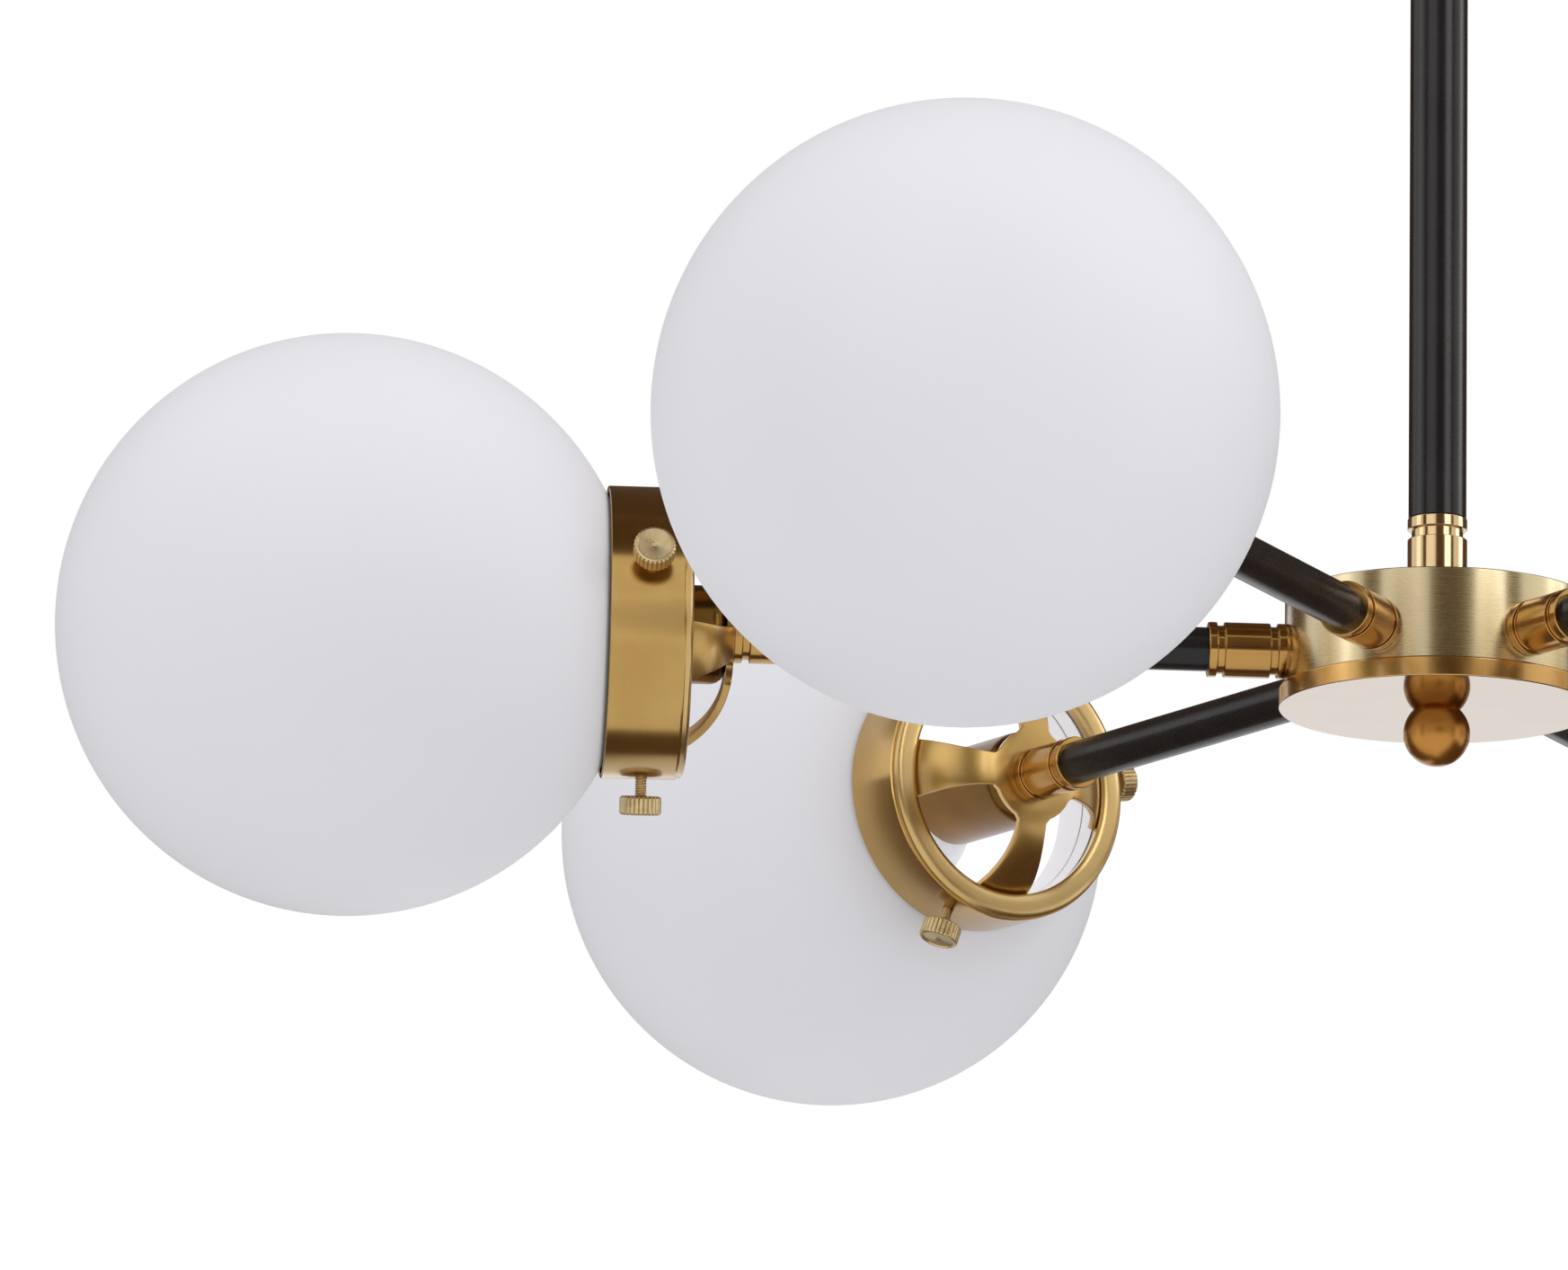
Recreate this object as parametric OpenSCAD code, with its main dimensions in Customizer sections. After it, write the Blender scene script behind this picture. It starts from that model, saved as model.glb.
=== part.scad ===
// Pendant light with six opal globes on level arms round a drum hub.
// The origin is on the ceiling plane, over the hub, and the light hangs down to -Z.
// Arm 1 points along +X and the others follow every 60 degrees.

/* [Globes] */
// Outer diameter of a globe
globe_d = 200; // [160:5:240]
// Thickness of the opal glass
glass_t = 3; // [2:0.5:4]
// Outer diameter of a globe's neck
neck_d = 90; // [84:1:100]
// How far the neck's lip stands out from the neck
neck_lip_rise = 2.6; // [1.5:0.1:3.5]
// Gap between a holder's open edge and the globe's round
globe_gap = 2; // [1:0.5:5]

/* [Holders] */
// Length of a holder's band
band_l = 28.5; // [24:0.5:36]
// Thickness of a holder's band
band_t = 1.5; // [1:0.1:2.5]
// Gap between the glass lip and the inside of the band
band_gap = 1.2; // [0.5:0.1:2]
// Width of the holder's flat lip, from the band inwards
rim_w = 9.3; // [7:0.1:12]
// Thickness of the holder's lip
rim_t = 3; // [2:0.1:4]
// Height of the step between the band and the back edge
rim_step = 0.8; // [0.4:0.1:1.2]
// Distance from the holder's back to the thumbscrews
screw_back = 14.3; // [11:0.1:17]
// Turn of the holders about their arms
holder_turn = 0; // [-30:1:30]
// Turn of holder 3 about its arm, which was fitted by hand
holder_3_turn = 20; // [-30:1:30]
// Turn of holder 4 about its arm, which was fitted by hand
holder_4_turn = -14; // [-30:1:30]

/* [Spiders] */
// Height of a spider's dome behind the holder
dome_h = 15.9; // [12:0.1:20]
// Radius of the dome's arch
dome_arc_r = 32.4; // [30:0.1:36]
// Thickness of a spider
spider_t = 2.4; // [1.6:0.1:3]
// Diameter of the flat disc in the middle of a spider
disc_d = 34; // [30:0.5:40]
// Width of a spoke
spoke_w = 12; // [8:0.5:16]
// Radius of the arcs between which a spoke flares towards the holder
spoke_flare_r = 60; // [50:1:200]
// Radius in the corners where the spokes meet the disc
disc_corner_r = 2.5; // [1:0.5:4]
// Turn of the spiders about their arms
spider_turn = 16; // [0:1:90]
// Turn of spider 3 about its arm
spider_3_turn = 1; // [-30:1:60]
// Turn of spider 4 about its arm
spider_4_turn = -21; // [-30:1:60]

/* [Thumbscrews] */
// Diameter of a thumbscrew's thread
thread_d = 4.2; // [3:0.1:5]
// Bare thread between the band and the head when the globe is clamped
thread_bare = 5.8; // [4.5:0.1:8]
// Diameter of a thumbscrew's head
head_d = 14.4; // [10:0.1:18]
// Height of a thumbscrew's head
head_h = 6.4; // [4:0.1:8]
// Grooves round a thumbscrew's head
knurl_count = 28; // [16:1:36]

/* [Sockets and bulbs] */
// Outer diameter of a socket cup
cup_d = 34; // [33:0.5:38]
// Length of a socket cup
cup_l = 50; // [40:0.5:56]
// Thickness of a socket cup
cup_t = 1; // [0.6:0.1:1.4]
// Length of a lampholder
holder_l = 36; // [34:0.5:44]
// Outer diameter of a bulb's screw base
base_d = 26; // [26:0.1:26.4]
// Length of a bulb's screw base
base_l = 27.5; // [26:0.5:30]
// Diameter of a bulb
bulb_d = 60; // [45:1:70]
// Length of a bulb with its base
bulb_l = 108; // [96:1:120]

/* [Arms] */
// Outer diameter of an arm tube
tube_d = 15.2; // [13:0.1:16]
// Thickness of an arm tube
tube_t = 1.2; // [0.8:0.1:1.6]
// Length of an arm tube between its collars
tube_l = 136.7; // [110:0.1:250]
// Diameter of a collar
collar_d = 19; // [18.5:0.1:24]
// Length of a collar
collar_l = 27; // [25:0.5:36]
// Width of a collar's end bands
collar_band = 3; // [2:0.1:4]
// Width of a collar's grooves
collar_groove_w = 2.6; // [1.5:0.1:3.5]
// Depth of a collar's grooves
collar_groove_h = 1.2; // [0.6:0.1:1.4]

/* [Hub] */
// Diameter of the hub drum
drum_d = 105; // [90:1:140]
// Height of the drum above the arms' centres
drum_up = 19.5; // [16:0.5:30]
// Depth of the drum below the arms' centres
drum_down = 12; // [11:0.5:24]
// Thickness of the drum's wall
drum_t = 2; // [1.5:0.1:3]
// Thickness of the drum's top
drum_top_t = 3; // [2:0.5:5]
// How far the cover's lip stands out from the drum
cover_lip = 2; // [1:0.1:4]
// Height of the hub cover
cover_h = 7; // [5:0.5:12]
// Thickness of the hub cover's plate
cover_t = 2; // [1.5:0.1:3]
// Diameter of the ball finial
ball_d = 23; // [18:0.5:30]
// Distance from the cover to the ball's centre
ball_drop = 8.4; // [7:0.1:8.8]

/* [Rods] */
// Outer diameter of the rods
rod_d = 20; // [18:0.5:24]
// Thickness of the rods
rod_t = 1.2; // [0.8:0.1:1.6]
// Length of the lower rod
lower_rod_l = 305; // [150:1:610]
// Length of the upper rod
upper_rod_l = 152; // [100:1:305]
// How far the couplings stand out from the rods
coupling_rise = 0.3; // [0:0.1:1]
// Length of a coupling between its shoulders
coupling_l = 31.6; // [26:0.1:50]
// Width of a coupling's end bands
coupling_band = 3.4; // [2:0.1:5]
// Width of a coupling's grooves
coupling_groove_w = 2.6; // [1.5:0.1:4]
// Depth of a coupling's grooves
coupling_groove_h = 1.4; // [0.6:0.1:1.6]
// Length of the spigot that holds a rod from inside
spigot_l = 12; // [8:0.5:20]

/* [Swivel] */
// Height of the fork's collar above its slot
fork_top = 9; // [7:0.5:14]
// Width of the tongue between the fork's ears
tongue_w = 12; // [11:0.1:12.6]
// Distance from the pivot to the tongue's collar
tongue_drop = 9.4; // [9:0.1:14]
// Length of the tongue's collar
tongue_collar_l = 18; // [14:0.5:24]
// Diameter of the pivot screws
pivot_d = 4; // [3:0.1:5]

/* [Canopy] */
// Diameter of the canopy
canopy_d = 127; // [118:1:160]
// Height of the canopy
canopy_h = 25; // [22:0.5:40]
// Thickness of the canopy
canopy_t = 1.5; // [1:0.1:2]
// Radius of the canopy's lower edge
canopy_corner_r = 5; // [2:0.5:8]
// Length of the crossbar
bar_l = 106; // [104:1:110]
// Width of the crossbar
bar_w = 22; // [18:0.5:30]
// Thickness of the crossbar
bar_t = 2; // [1.5:0.1:3]
// Distance between the middles of the crossbar's slots
slot_spacing = 79.4; // [76:0.1:82]
// Length of the crossbar's slots
slot_l = 15; // [10:0.5:17]
// Width of the crossbar's slots
slot_w = 4.8; // [4:0.1:6]
// Distance between the canopy studs
stud_spacing = 48; // [46:0.5:52]
// Diameter of the canopy studs
stud_d = 4; // [3:0.1:5]
// Diameter of the cap nuts
cap_nut_d = 10; // [8:0.5:12]
// Height of a cap nut
cap_nut_h = 9; // [8:0.5:14]

/* [Nipples and leads] */
// Diameter of the hollow threaded nipples
nipple_d = 10; // [9.5:0.1:10.4]
// Bore of the nipples
nipple_bore = 7; // [6.6:0.1:7.4]
// Length of the arms' nipples
nipple_l = 24; // [23:0.5:26]
// Depth of a nipple in its collar
nipple_in = 12; // [11:0.5:13]
// Width of the nuts across their flats
nut_w = 14; // [13:0.5:16]
// Height of the nuts
nut_h = 4; // [3:0.5:5]
// Diameter of the leads
lead_d = 6.4; // [5.8:0.1:6.5]

/* [Hidden] */
$fn = 96;
small_fn = 48;
arm_count = 6;
arm_step = 360 / arm_count;
screws_per_holder = 3;
screw_letters = ["a", "b", "c"];

// Clearances: threads and slip fits, loose seats, and the cutters' overrun
fit_gap = 0.05;
seat_gap = 0.3;
over = 1;
edge = 0.5;

globe_r = globe_d / 2;
neck_r = neck_d / 2;
glass_lip_r = neck_r + neck_lip_rise;
glass_lip_h = 3;
band_in_r = glass_lip_r + band_gap;
band_r = band_in_r + band_t;
rim_r = band_r - rim_step;
rim_in_r = band_r - rim_w;
rim_corner_r = rim_t - 0.4;

// Stations along an arm, from the hub's axis
drum_r = drum_d / 2;
collar_seat = drum_r;
tube_start = collar_seat + collar_l;
tube_end = tube_start + tube_l;
spider_back = tube_end + collar_l;
holder_back = spider_back + dome_h;
flange_back = holder_back + rim_t;
flange_front = flange_back + spider_t;
glass_lip_back = flange_front + seat_gap;
holder_front = holder_back + band_l;
globe_x = holder_front + globe_gap + sqrt(globe_r * globe_r - band_r * band_r);

// The dome's arch starts at the edge of a flat and ends on the flange
dome_flat_r = 11.4;
dome_arc_h = dome_h - dome_arc_r;
flange_r = band_in_r - seat_gap;
window_r = rim_in_r + 1;

thread_r = thread_d / 2;
screw_tip_r = neck_r + seat_gap;
head_base_r = band_r + thread_bare;
head_r = head_d / 2;
knurl_r = 0.45;
head_dish_h = 0.5;
head_ring_w = 1.4;

nipple_r = nipple_d / 2;
nipple_hole_r = nipple_r + fit_gap;
collar_r = collar_d / 2;
tube_r = tube_d / 2;
tube_socket = 8;
lead_r = lead_d / 2;
lead_hole_r = nipple_bore / 2;

// The cup stands on the inside of the spider's disc, and a nut holds both
cup_back = spider_back + spider_t;
cup_r = cup_d / 2;
cup_in_r = cup_r - cup_t;
// The cup's back edge is round enough to clear the inside of the dome
cup_corner_r = cup_r - dome_flat_r;
fitter_nut_back = cup_back + cup_t;
holder_base_back = fitter_nut_back + nut_h;
holder_r = cup_in_r - seat_gap;
holder_floor = 8.5;
holder_bevel = 2;
nipple_past_nut = nipple_l - nipple_in - spider_t - cup_t - nut_h;
shell_t = 0.4;
base_r = base_d / 2;
shell_r = base_r + 0.15;
holder_in_r = shell_r + shell_t + 0.15;
bulb_back = holder_base_back + holder_floor + seat_gap;
bulb_r = bulb_d / 2;
bulb_neck_r = base_r + 1.5;
// The bulb widens past its base and past the mouths of the lampholder and the cup
bulb_neck_back = max(bulb_back + base_l, holder_base_back + holder_l, cup_back + cup_l) + seat_gap;
bulb_centre = bulb_back + bulb_l - bulb_r;

// Heights, from the ceiling down
stem_top = -canopy_h + canopy_t + seat_gap + nut_h + 2;
fork_z = -canopy_h - seat_gap;
tongue_r = tongue_w / 2;
pivot_z = fork_z - fork_top - tongue_r - 0.5;
rod_r = rod_d / 2;
rod_in_r = rod_r - rod_t;
coupling_r = rod_r + coupling_rise;
spigot_r = rod_in_r - fit_gap;
upper_rod_top = pivot_z - tongue_drop - tongue_collar_l;
upper_rod_end = upper_rod_top - upper_rod_l;
lower_rod_top = upper_rod_end - coupling_l;
lower_rod_end = lower_rod_top - lower_rod_l;
drum_top = lower_rod_end - coupling_l;
arm_z = drum_top - drum_up;
drum_bottom = arm_z - drum_down;
cover_r = drum_r + cover_lip;
cover_bottom = drum_bottom - cover_h;
ball_z = cover_bottom - ball_drop;
ball_r = ball_d / 2;
ball_bore_h = 7.5;
centre_nipple_in = 12;
tongue_gap = 0.3;
ear_gap = tongue_r + tongue_gap;
ear_r = sqrt(coupling_r * coupling_r - ear_gap * ear_gap) - edge;
pivot_r = pivot_d / 2;
pivot_in = 2.2;
pivot_head_r = pivot_r + 1.6;
pivot_head_h = 1.6;
canopy_r = canopy_d / 2;
slot_r = slot_w / 2;
stud_r = stud_d / 2;
stud_in = 6;

brass = [0.69, 0.53, 0.26];
bright_brass = [0.84, 0.66, 0.4];
screw_brass = [0.72, 0.64, 0.4];
tube_black = [0.16, 0.15, 0.15];
opal = [0.92, 0.92, 0.94];
steel = [0.7, 0.71, 0.73];

per_arm = [for (k = [1:arm_count]) k];

// Places what is drawn along +Z, from the hub's axis outwards, on arm k
module on_arm(k) {
    translate([0, 0, arm_z])
        rotate([0, 0, arm_step * (k - 1)])
            rotate([0, 90, 0])
                children();
}

module on_arms() {
    for (k = per_arm)
        on_arm(k) children();
}

function turn_of_holder(k) = k == 3 ? holder_3_turn : k == 4 ? holder_4_turn : holder_turn;
function turn_of_spider(k) = k == 3 ? spider_3_turn : k == 4 ? spider_4_turn : spider_turn;

module tube(r, in_r, l) {
    difference() {
        cylinder(r = r, h = l);
        translate([0, 0, -over])
            cylinder(r = in_r, h = l + 2 * over);
    }
}

module nut() {
    difference() {
        cylinder(d = nut_w / cos(30), h = nut_h, $fn = 6);
        translate([0, 0, -over])
            cylinder(r = nipple_hole_r, h = nut_h + 2 * over, $fn = small_fn);
    }
}

function band_points(r, z0, z1) =
    [[r - edge, z0], [r, z0 + edge], [r, z1 - edge], [r - edge, z1]];

// A turned sleeve with a groove inside each of its two end bands
module grooved_body(r, l, band, groove_w, groove_h) {
    low = band + groove_w;
    high = l - band - groove_w;
    bottom_r = r - groove_h;
    rotate_extrude()
        polygon(concat(
            [[0, 0]],
            band_points(r, 0, band),
            [[bottom_r, band], [bottom_r, low]],
            band_points(r, low, high),
            [[bottom_r, high], [bottom_r, l - band]],
            band_points(r, l - band, l),
            [[0, l]]
        ));
}

module collar() {
    difference() {
        grooved_body(collar_r, collar_l, collar_band, collar_groove_w, collar_groove_h);
        translate([0, 0, -over])
            cylinder(r = nipple_hole_r, h = nipple_in + over, $fn = small_fn);
        translate([0, 0, -over])
            cylinder(r = lead_hole_r, h = collar_l + 2 * over, $fn = small_fn);
        translate([0, 0, collar_l - tube_socket])
            cylinder(r = tube_r + fit_gap, h = tube_socket + over);
    }
}

module coupling_body(l) {
    grooved_body(coupling_r, l, coupling_band, coupling_groove_w, coupling_groove_h);
}

// Opal glass ball with a neck and an out-turned lip
module globe(k) {
    inner_neck_r = neck_r - glass_t;
    color(opal, 0.9)
        on_arm(k)
            difference() {
                union() {
                    translate([0, 0, globe_x])
                        sphere(r = globe_r);
                    translate([0, 0, glass_lip_back])
                        cylinder(r = neck_r, h = globe_x - globe_r / 2 - glass_lip_back);
                    rotate_extrude()
                        translate([glass_lip_r - glass_lip_h / 2, glass_lip_back + glass_lip_h / 2])
                            circle(d = glass_lip_h, $fn = small_fn);
                    translate([0, 0, glass_lip_back])
                        cylinder(r = glass_lip_r - glass_lip_h / 2, h = glass_lip_h);
                }
                translate([0, 0, globe_x])
                    sphere(r = globe_r - glass_t);
                translate([0, 0, glass_lip_back - over])
                    cylinder(r = inner_neck_r, h = globe_x - globe_r / 2 - glass_lip_back);
            }
}

// Outline of a holder from its axis out: a band, a step and a rounded lip
module holder_outline() {
    difference() {
        union() {
            translate([0, rim_t])
                square([band_r - edge, band_l - rim_t]);
            translate([0, rim_t])
                square([band_r, band_l - rim_t - edge]);
            square([rim_r - rim_corner_r, rim_t]);
            translate([0, rim_corner_r])
                square([rim_r, rim_t - rim_corner_r + edge]);
            translate([rim_r - rim_corner_r, rim_corner_r])
                circle(r = rim_corner_r);
        }
        translate([0, rim_t])
            square([band_in_r, band_l]);
        translate([0, -over])
            square([rim_in_r + edge, over + rim_t]);
    }
    translate([rim_in_r + edge, edge])
        circle(r = edge, $fn = small_fn);
    translate([rim_in_r, edge])
        square([2 * edge, rim_t - edge]);
}

module holder(k) {
    color(brass)
        on_arm(k)
            translate([0, 0, holder_back])
                difference() {
                    rotate_extrude()
                        holder_outline();
                    rotate([0, 0, turn_of_holder(k)])
                        screw_places()
                            cylinder(r = thread_r + fit_gap, h = 2 * band_r, $fn = small_fn);
                }
}

// Radial places of a holder's screws, the first one straight down
module screw_places() {
    for (s = [0:screws_per_holder - 1])
        rotate([0, 0, 360 / screws_per_holder * s])
            translate([0, 0, screw_back])
                rotate([0, 90, 0])
                    children();
}

module thumbscrew_shape() {
    translate([0, 0, screw_tip_r])
        cylinder(r = thread_r, h = head_base_r - screw_tip_r + over, $fn = small_fn);
    translate([0, 0, head_base_r])
        difference() {
            linear_extrude(head_h)
                difference() {
                    circle(r = head_r);
                    for (i = [0:knurl_count - 1])
                        rotate(360 / knurl_count * i)
                            translate([head_r, 0])
                                circle(r = knurl_r, $fn = 16);
                }
            translate([0, 0, head_h - head_dish_h])
                cylinder(r = head_r - head_ring_w, h = head_dish_h + over);
        }
}

module thumbscrew(k, s) {
    color(screw_brass)
        on_arm(k)
            translate([0, 0, holder_back])
                rotate([0, 0, turn_of_holder(k) + 360 / screws_per_holder * s])
                    translate([0, 0, screw_back])
                        rotate([0, 90, 0])
                            thumbscrew_shape();
}

// Half section of a spider: flat disc, arch and flange, with heights behind the holder
module spider_section() {
    arc_in_r = dome_arc_r - spider_t;
    translate([0, dome_h - spider_t])
        square([dome_flat_r, spider_t]);
    intersection() {
        translate([dome_flat_r, dome_arc_h])
            difference() {
                circle(r = dome_arc_r);
                circle(r = arc_in_r);
            }
        translate([dome_flat_r, -rim_t - spider_t])
            square([flange_r, dome_h + rim_t + spider_t]);
    }
    translate([window_r - spider_t, -rim_t - spider_t])
        square([flange_r - window_r + spider_t, spider_t]);
}

// The rounded inner corner between a spoke's side and the disc
module disc_corner() {
    disc_r = disc_d / 2;
    centre_x = spoke_w / 2 + disc_corner_r;
    centre_r = disc_r + disc_corner_r;
    centre_y = sqrt(centre_r * centre_r - centre_x * centre_x);
    touch = [centre_x, centre_y] * disc_r / centre_r;
    difference() {
        polygon([
            [spoke_w / 2 - over, centre_y],
            [centre_x, centre_y],
            touch,
            [spoke_w / 2 - over, touch[1] - over]
        ]);
        translate([centre_x, centre_y])
            circle(r = disc_corner_r, $fn = small_fn);
    }
}

// A spoke along Y that flares from the disc to the flange between two arcs
module spoke() {
    disc_r = disc_d / 2;
    neck_y = sqrt(disc_r * disc_r - spoke_w * spoke_w / 4);
    difference() {
        translate([-disc_r, 0])
            square([2 * disc_r, window_r + over]);
        for (side = [-1, 1])
            translate([side * (spoke_w / 2 + spoke_flare_r), neck_y])
                circle(r = spoke_flare_r);
    }
    for (side = [0, 1])
        mirror([side, 0])
            disc_corner();
}

module spider_outline() {
    circle(d = disc_d);
    difference() {
        circle(r = flange_r + over);
        circle(r = window_r);
    }
    for (i = [0:3])
        rotate(90 * i)
            spoke();
}

module spiders() {
    color(brass)
        for (k = per_arm)
            on_arm(k)
                difference() {
                    intersection() {
                        translate([0, 0, holder_back])
                            mirror([0, 0, 1])
                                rotate_extrude()
                                    spider_section();
                        translate([0, 0, spider_back - over])
                            rotate([0, 0, turn_of_spider(k)])
                                linear_extrude(flange_front - spider_back + 2 * over)
                                    spider_outline();
                    }
                    translate([0, 0, spider_back - over])
                        cylinder(r = nipple_hole_r, h = spider_t + 2 * over, $fn = small_fn);
                }
}

// Half outline of a dish with a rounded edge below and its mouth above
module dish_outline(r, h, corner_r) {
    square([r - corner_r, h]);
    translate([0, corner_r])
        square([r, h - corner_r]);
    intersection() {
        translate([r - corner_r, corner_r])
            circle(r = corner_r);
        square([r, 2 * corner_r]);
    }
}

module socket_cups() {
    color(brass)
        on_arms()
            translate([0, 0, cup_back])
                difference() {
                    rotate_extrude()
                        difference() {
                            dish_outline(cup_r, cup_l, cup_corner_r);
                            translate([0, cup_t])
                                dish_outline(cup_in_r, cup_l, cup_corner_r - cup_t);
                        }
                    translate([0, 0, -over])
                        cylinder(r = nipple_hole_r, h = cup_t + 2 * over, $fn = small_fn);
                }
}

module lampholders() {
    color("ivory")
        on_arms()
            translate([0, 0, holder_base_back])
                difference() {
                    union() {
                        cylinder(r1 = holder_r - holder_bevel, r2 = holder_r, h = holder_bevel);
                        translate([0, 0, holder_bevel])
                            cylinder(r = holder_r, h = holder_l - holder_bevel);
                    }
                    translate([0, 0, holder_floor])
                        cylinder(r = holder_in_r, h = holder_l);
                    translate([0, 0, -over])
                        cylinder(r = nipple_hole_r, h = nipple_past_nut + seat_gap + over, $fn = small_fn);
                }
}

module screw_shells() {
    color(screw_brass)
        on_arms()
            translate([0, 0, holder_base_back + holder_floor])
                tube(shell_r + shell_t, shell_r, holder_l - holder_floor - over);
}

module bulbs() {
    neck_top = bulb_centre - bulb_r * 0.6;
    color("white")
        on_arms()
            union() {
                translate([0, 0, bulb_back])
                    cylinder(r = base_r, h = bulb_neck_back - bulb_back + over);
                translate([0, 0, bulb_neck_back])
                    cylinder(r1 = bulb_neck_r, r2 = bulb_r * 0.8, h = neck_top - bulb_neck_back);
                translate([0, 0, bulb_centre])
                    sphere(r = bulb_r);
            }
}

module holder_collars() {
    color(brass)
        on_arms()
            translate([0, 0, spider_back])
                mirror([0, 0, 1])
                    collar();
}

module arm_tubes() {
    color(tube_black)
        on_arms()
            translate([0, 0, tube_start - tube_socket])
                tube(tube_r, tube_r - tube_t, tube_l + 2 * tube_socket);
}

// The collars' feet are cut to the drum's round
module hub_collars() {
    color(brass)
        difference() {
            on_arms()
                translate([0, 0, collar_seat - edge])
                    collar_with_foot();
            translate([0, 0, arm_z - collar_d])
                cylinder(r = drum_r, h = 2 * collar_d);
        }
}

module collar_with_foot() {
    translate([0, 0, edge])
        collar();
    tube(collar_r - edge, nipple_hole_r, 2 * edge);
}

module arm_nipples() {
    color(steel)
        on_arms() {
            translate([0, 0, spider_back - nipple_in])
                tube(nipple_r, lead_hole_r, nipple_l);
            translate([0, 0, collar_seat + nipple_in - nipple_l])
                tube(nipple_r, lead_hole_r, nipple_l);
        }
}

// The hub's nuts touch the drum's round wall with their corners
module arm_nuts() {
    drum_in_r = drum_r - drum_t;
    nut_corner_r = nut_w / cos(30) / 2;
    nut_seat = sqrt(drum_in_r * drum_in_r - nut_corner_r * nut_corner_r);
    color(steel)
        on_arms() {
            translate([0, 0, fitter_nut_back])
                nut();
            translate([0, 0, nut_seat - nut_h])
                nut();
        }
}

module arm_leads() {
    lead_start = collar_seat + nipple_in - nipple_l - 6;
    color("dimgray")
        on_arms()
            translate([0, 0, lead_start])
                cylinder(r = lead_r, h = holder_base_back + holder_floor / 2 - lead_start, $fn = small_fn);
}

module hub_drum() {
    color(brass)
        difference() {
            translate([0, 0, drum_bottom])
                cylinder(r = drum_r, h = drum_up + drum_down);
            translate([0, 0, drum_bottom - over])
                cylinder(r = drum_r - drum_t, h = drum_up + drum_down - drum_top_t + over);
            translate([0, 0, drum_top - drum_top_t - over])
                cylinder(r = nipple_hole_r, h = drum_top_t + 2 * over, $fn = small_fn);
            on_arms()
                translate([0, 0, drum_r / 2])
                    cylinder(r = nipple_hole_r, h = drum_r, $fn = small_fn);
        }
}

module hub_cover() {
    color(bright_brass)
        translate([0, 0, cover_bottom])
            difference() {
                union() {
                    cylinder(r1 = cover_r - edge, r2 = cover_r, h = edge);
                    translate([0, 0, edge])
                        cylinder(r = cover_r, h = cover_h - edge);
                }
                translate([0, 0, cover_t])
                    cylinder(r = drum_r - drum_t, h = cover_h);
                translate([0, 0, -over])
                    cylinder(r = nipple_hole_r, h = cover_t + 2 * over, $fn = small_fn);
            }
}

module ball_finial() {
    color(brass)
        difference() {
            translate([0, 0, ball_z])
                sphere(r = ball_r);
            translate([0, 0, cover_bottom])
                cylinder(r = ball_d, h = ball_d);
            translate([0, 0, cover_bottom - ball_bore_h])
                cylinder(r = nipple_hole_r, h = ball_bore_h + over, $fn = small_fn);
        }
}

// Hollow rod from the hub's coupling down into the ball, with a window for the leads
module centre_nipple() {
    low = cover_bottom - ball_bore_h + edge;
    color(steel)
        difference() {
            translate([0, 0, low])
                tube(nipple_r, lead_hole_r, drum_top + centre_nipple_in - low);
            translate([-nipple_d, 0, arm_z - 2])
                rotate([0, 90, 0])
                    cylinder(d = nipple_bore - 2, h = 2 * nipple_d, $fn = small_fn);
        }
}

module hub_nut() {
    color(steel)
        translate([0, 0, drum_top - drum_top_t - nut_h])
            nut();
}

module hub_coupling() {
    color(brass)
        difference() {
            union() {
                translate([0, 0, drum_top])
                    coupling_body(coupling_l);
                translate([0, 0, drum_top + coupling_l - over])
                    cylinder(r = spigot_r, h = spigot_l + over);
            }
            translate([0, 0, drum_top - over])
                cylinder(r = nipple_hole_r, h = centre_nipple_in + over, $fn = small_fn);
            translate([0, 0, drum_top - over])
                cylinder(r = lead_hole_r, h = coupling_l + spigot_l + 2 * over, $fn = small_fn);
        }
}

module lower_rod() {
    color(tube_black)
        translate([0, 0, lower_rod_end])
            tube(rod_r, rod_in_r, lower_rod_l);
}

module rod_coupling() {
    color(brass)
        difference() {
            union() {
                translate([0, 0, lower_rod_top])
                    coupling_body(coupling_l);
                translate([0, 0, lower_rod_top - spigot_l])
                    cylinder(r = spigot_r, h = coupling_l + 2 * spigot_l);
            }
            translate([0, 0, lower_rod_top - spigot_l - over])
                cylinder(r = lead_hole_r, h = coupling_l + 2 * spigot_l + 2 * over, $fn = small_fn);
        }
}

module upper_rod() {
    color(tube_black)
        translate([0, 0, upper_rod_end])
            tube(rod_r, rod_in_r, upper_rod_l);
}

module main_lead() {
    low = arm_z + nut_h;
    color("dimgray")
        translate([0, 0, low])
            cylinder(r = lead_r, h = pivot_z - tongue_r - low, $fn = small_fn);
}

// A round head on a collar: it holds the upper rod and tilts between the fork's ears
module swivel_tongue() {
    tongue_h = pivot_z + tongue_r - upper_rod_top;
    color(brass)
        difference() {
            union() {
                translate([-tongue_r, 0, pivot_z])
                    rotate([0, 90, 0])
                        cylinder(r = tongue_r, h = tongue_w);
                translate([-tongue_r, -tongue_r, pivot_z - tongue_drop - over])
                    cube([tongue_w, tongue_w, tongue_drop + over]);
                translate([0, 0, upper_rod_top])
                    coupling_body(tongue_collar_l);
                translate([0, 0, upper_rod_top - spigot_l])
                    cylinder(r = spigot_r, h = spigot_l + over);
            }
            translate([0, 0, upper_rod_top - spigot_l - over])
                cylinder(r = lead_hole_r, h = tongue_h + spigot_l + 2 * over, $fn = small_fn);
            translate([-tongue_w, 0, pivot_z])
                rotate([0, 90, 0])
                    cylinder(r = pivot_r + fit_gap, h = 2 * tongue_w, $fn = small_fn);
        }
}

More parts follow.
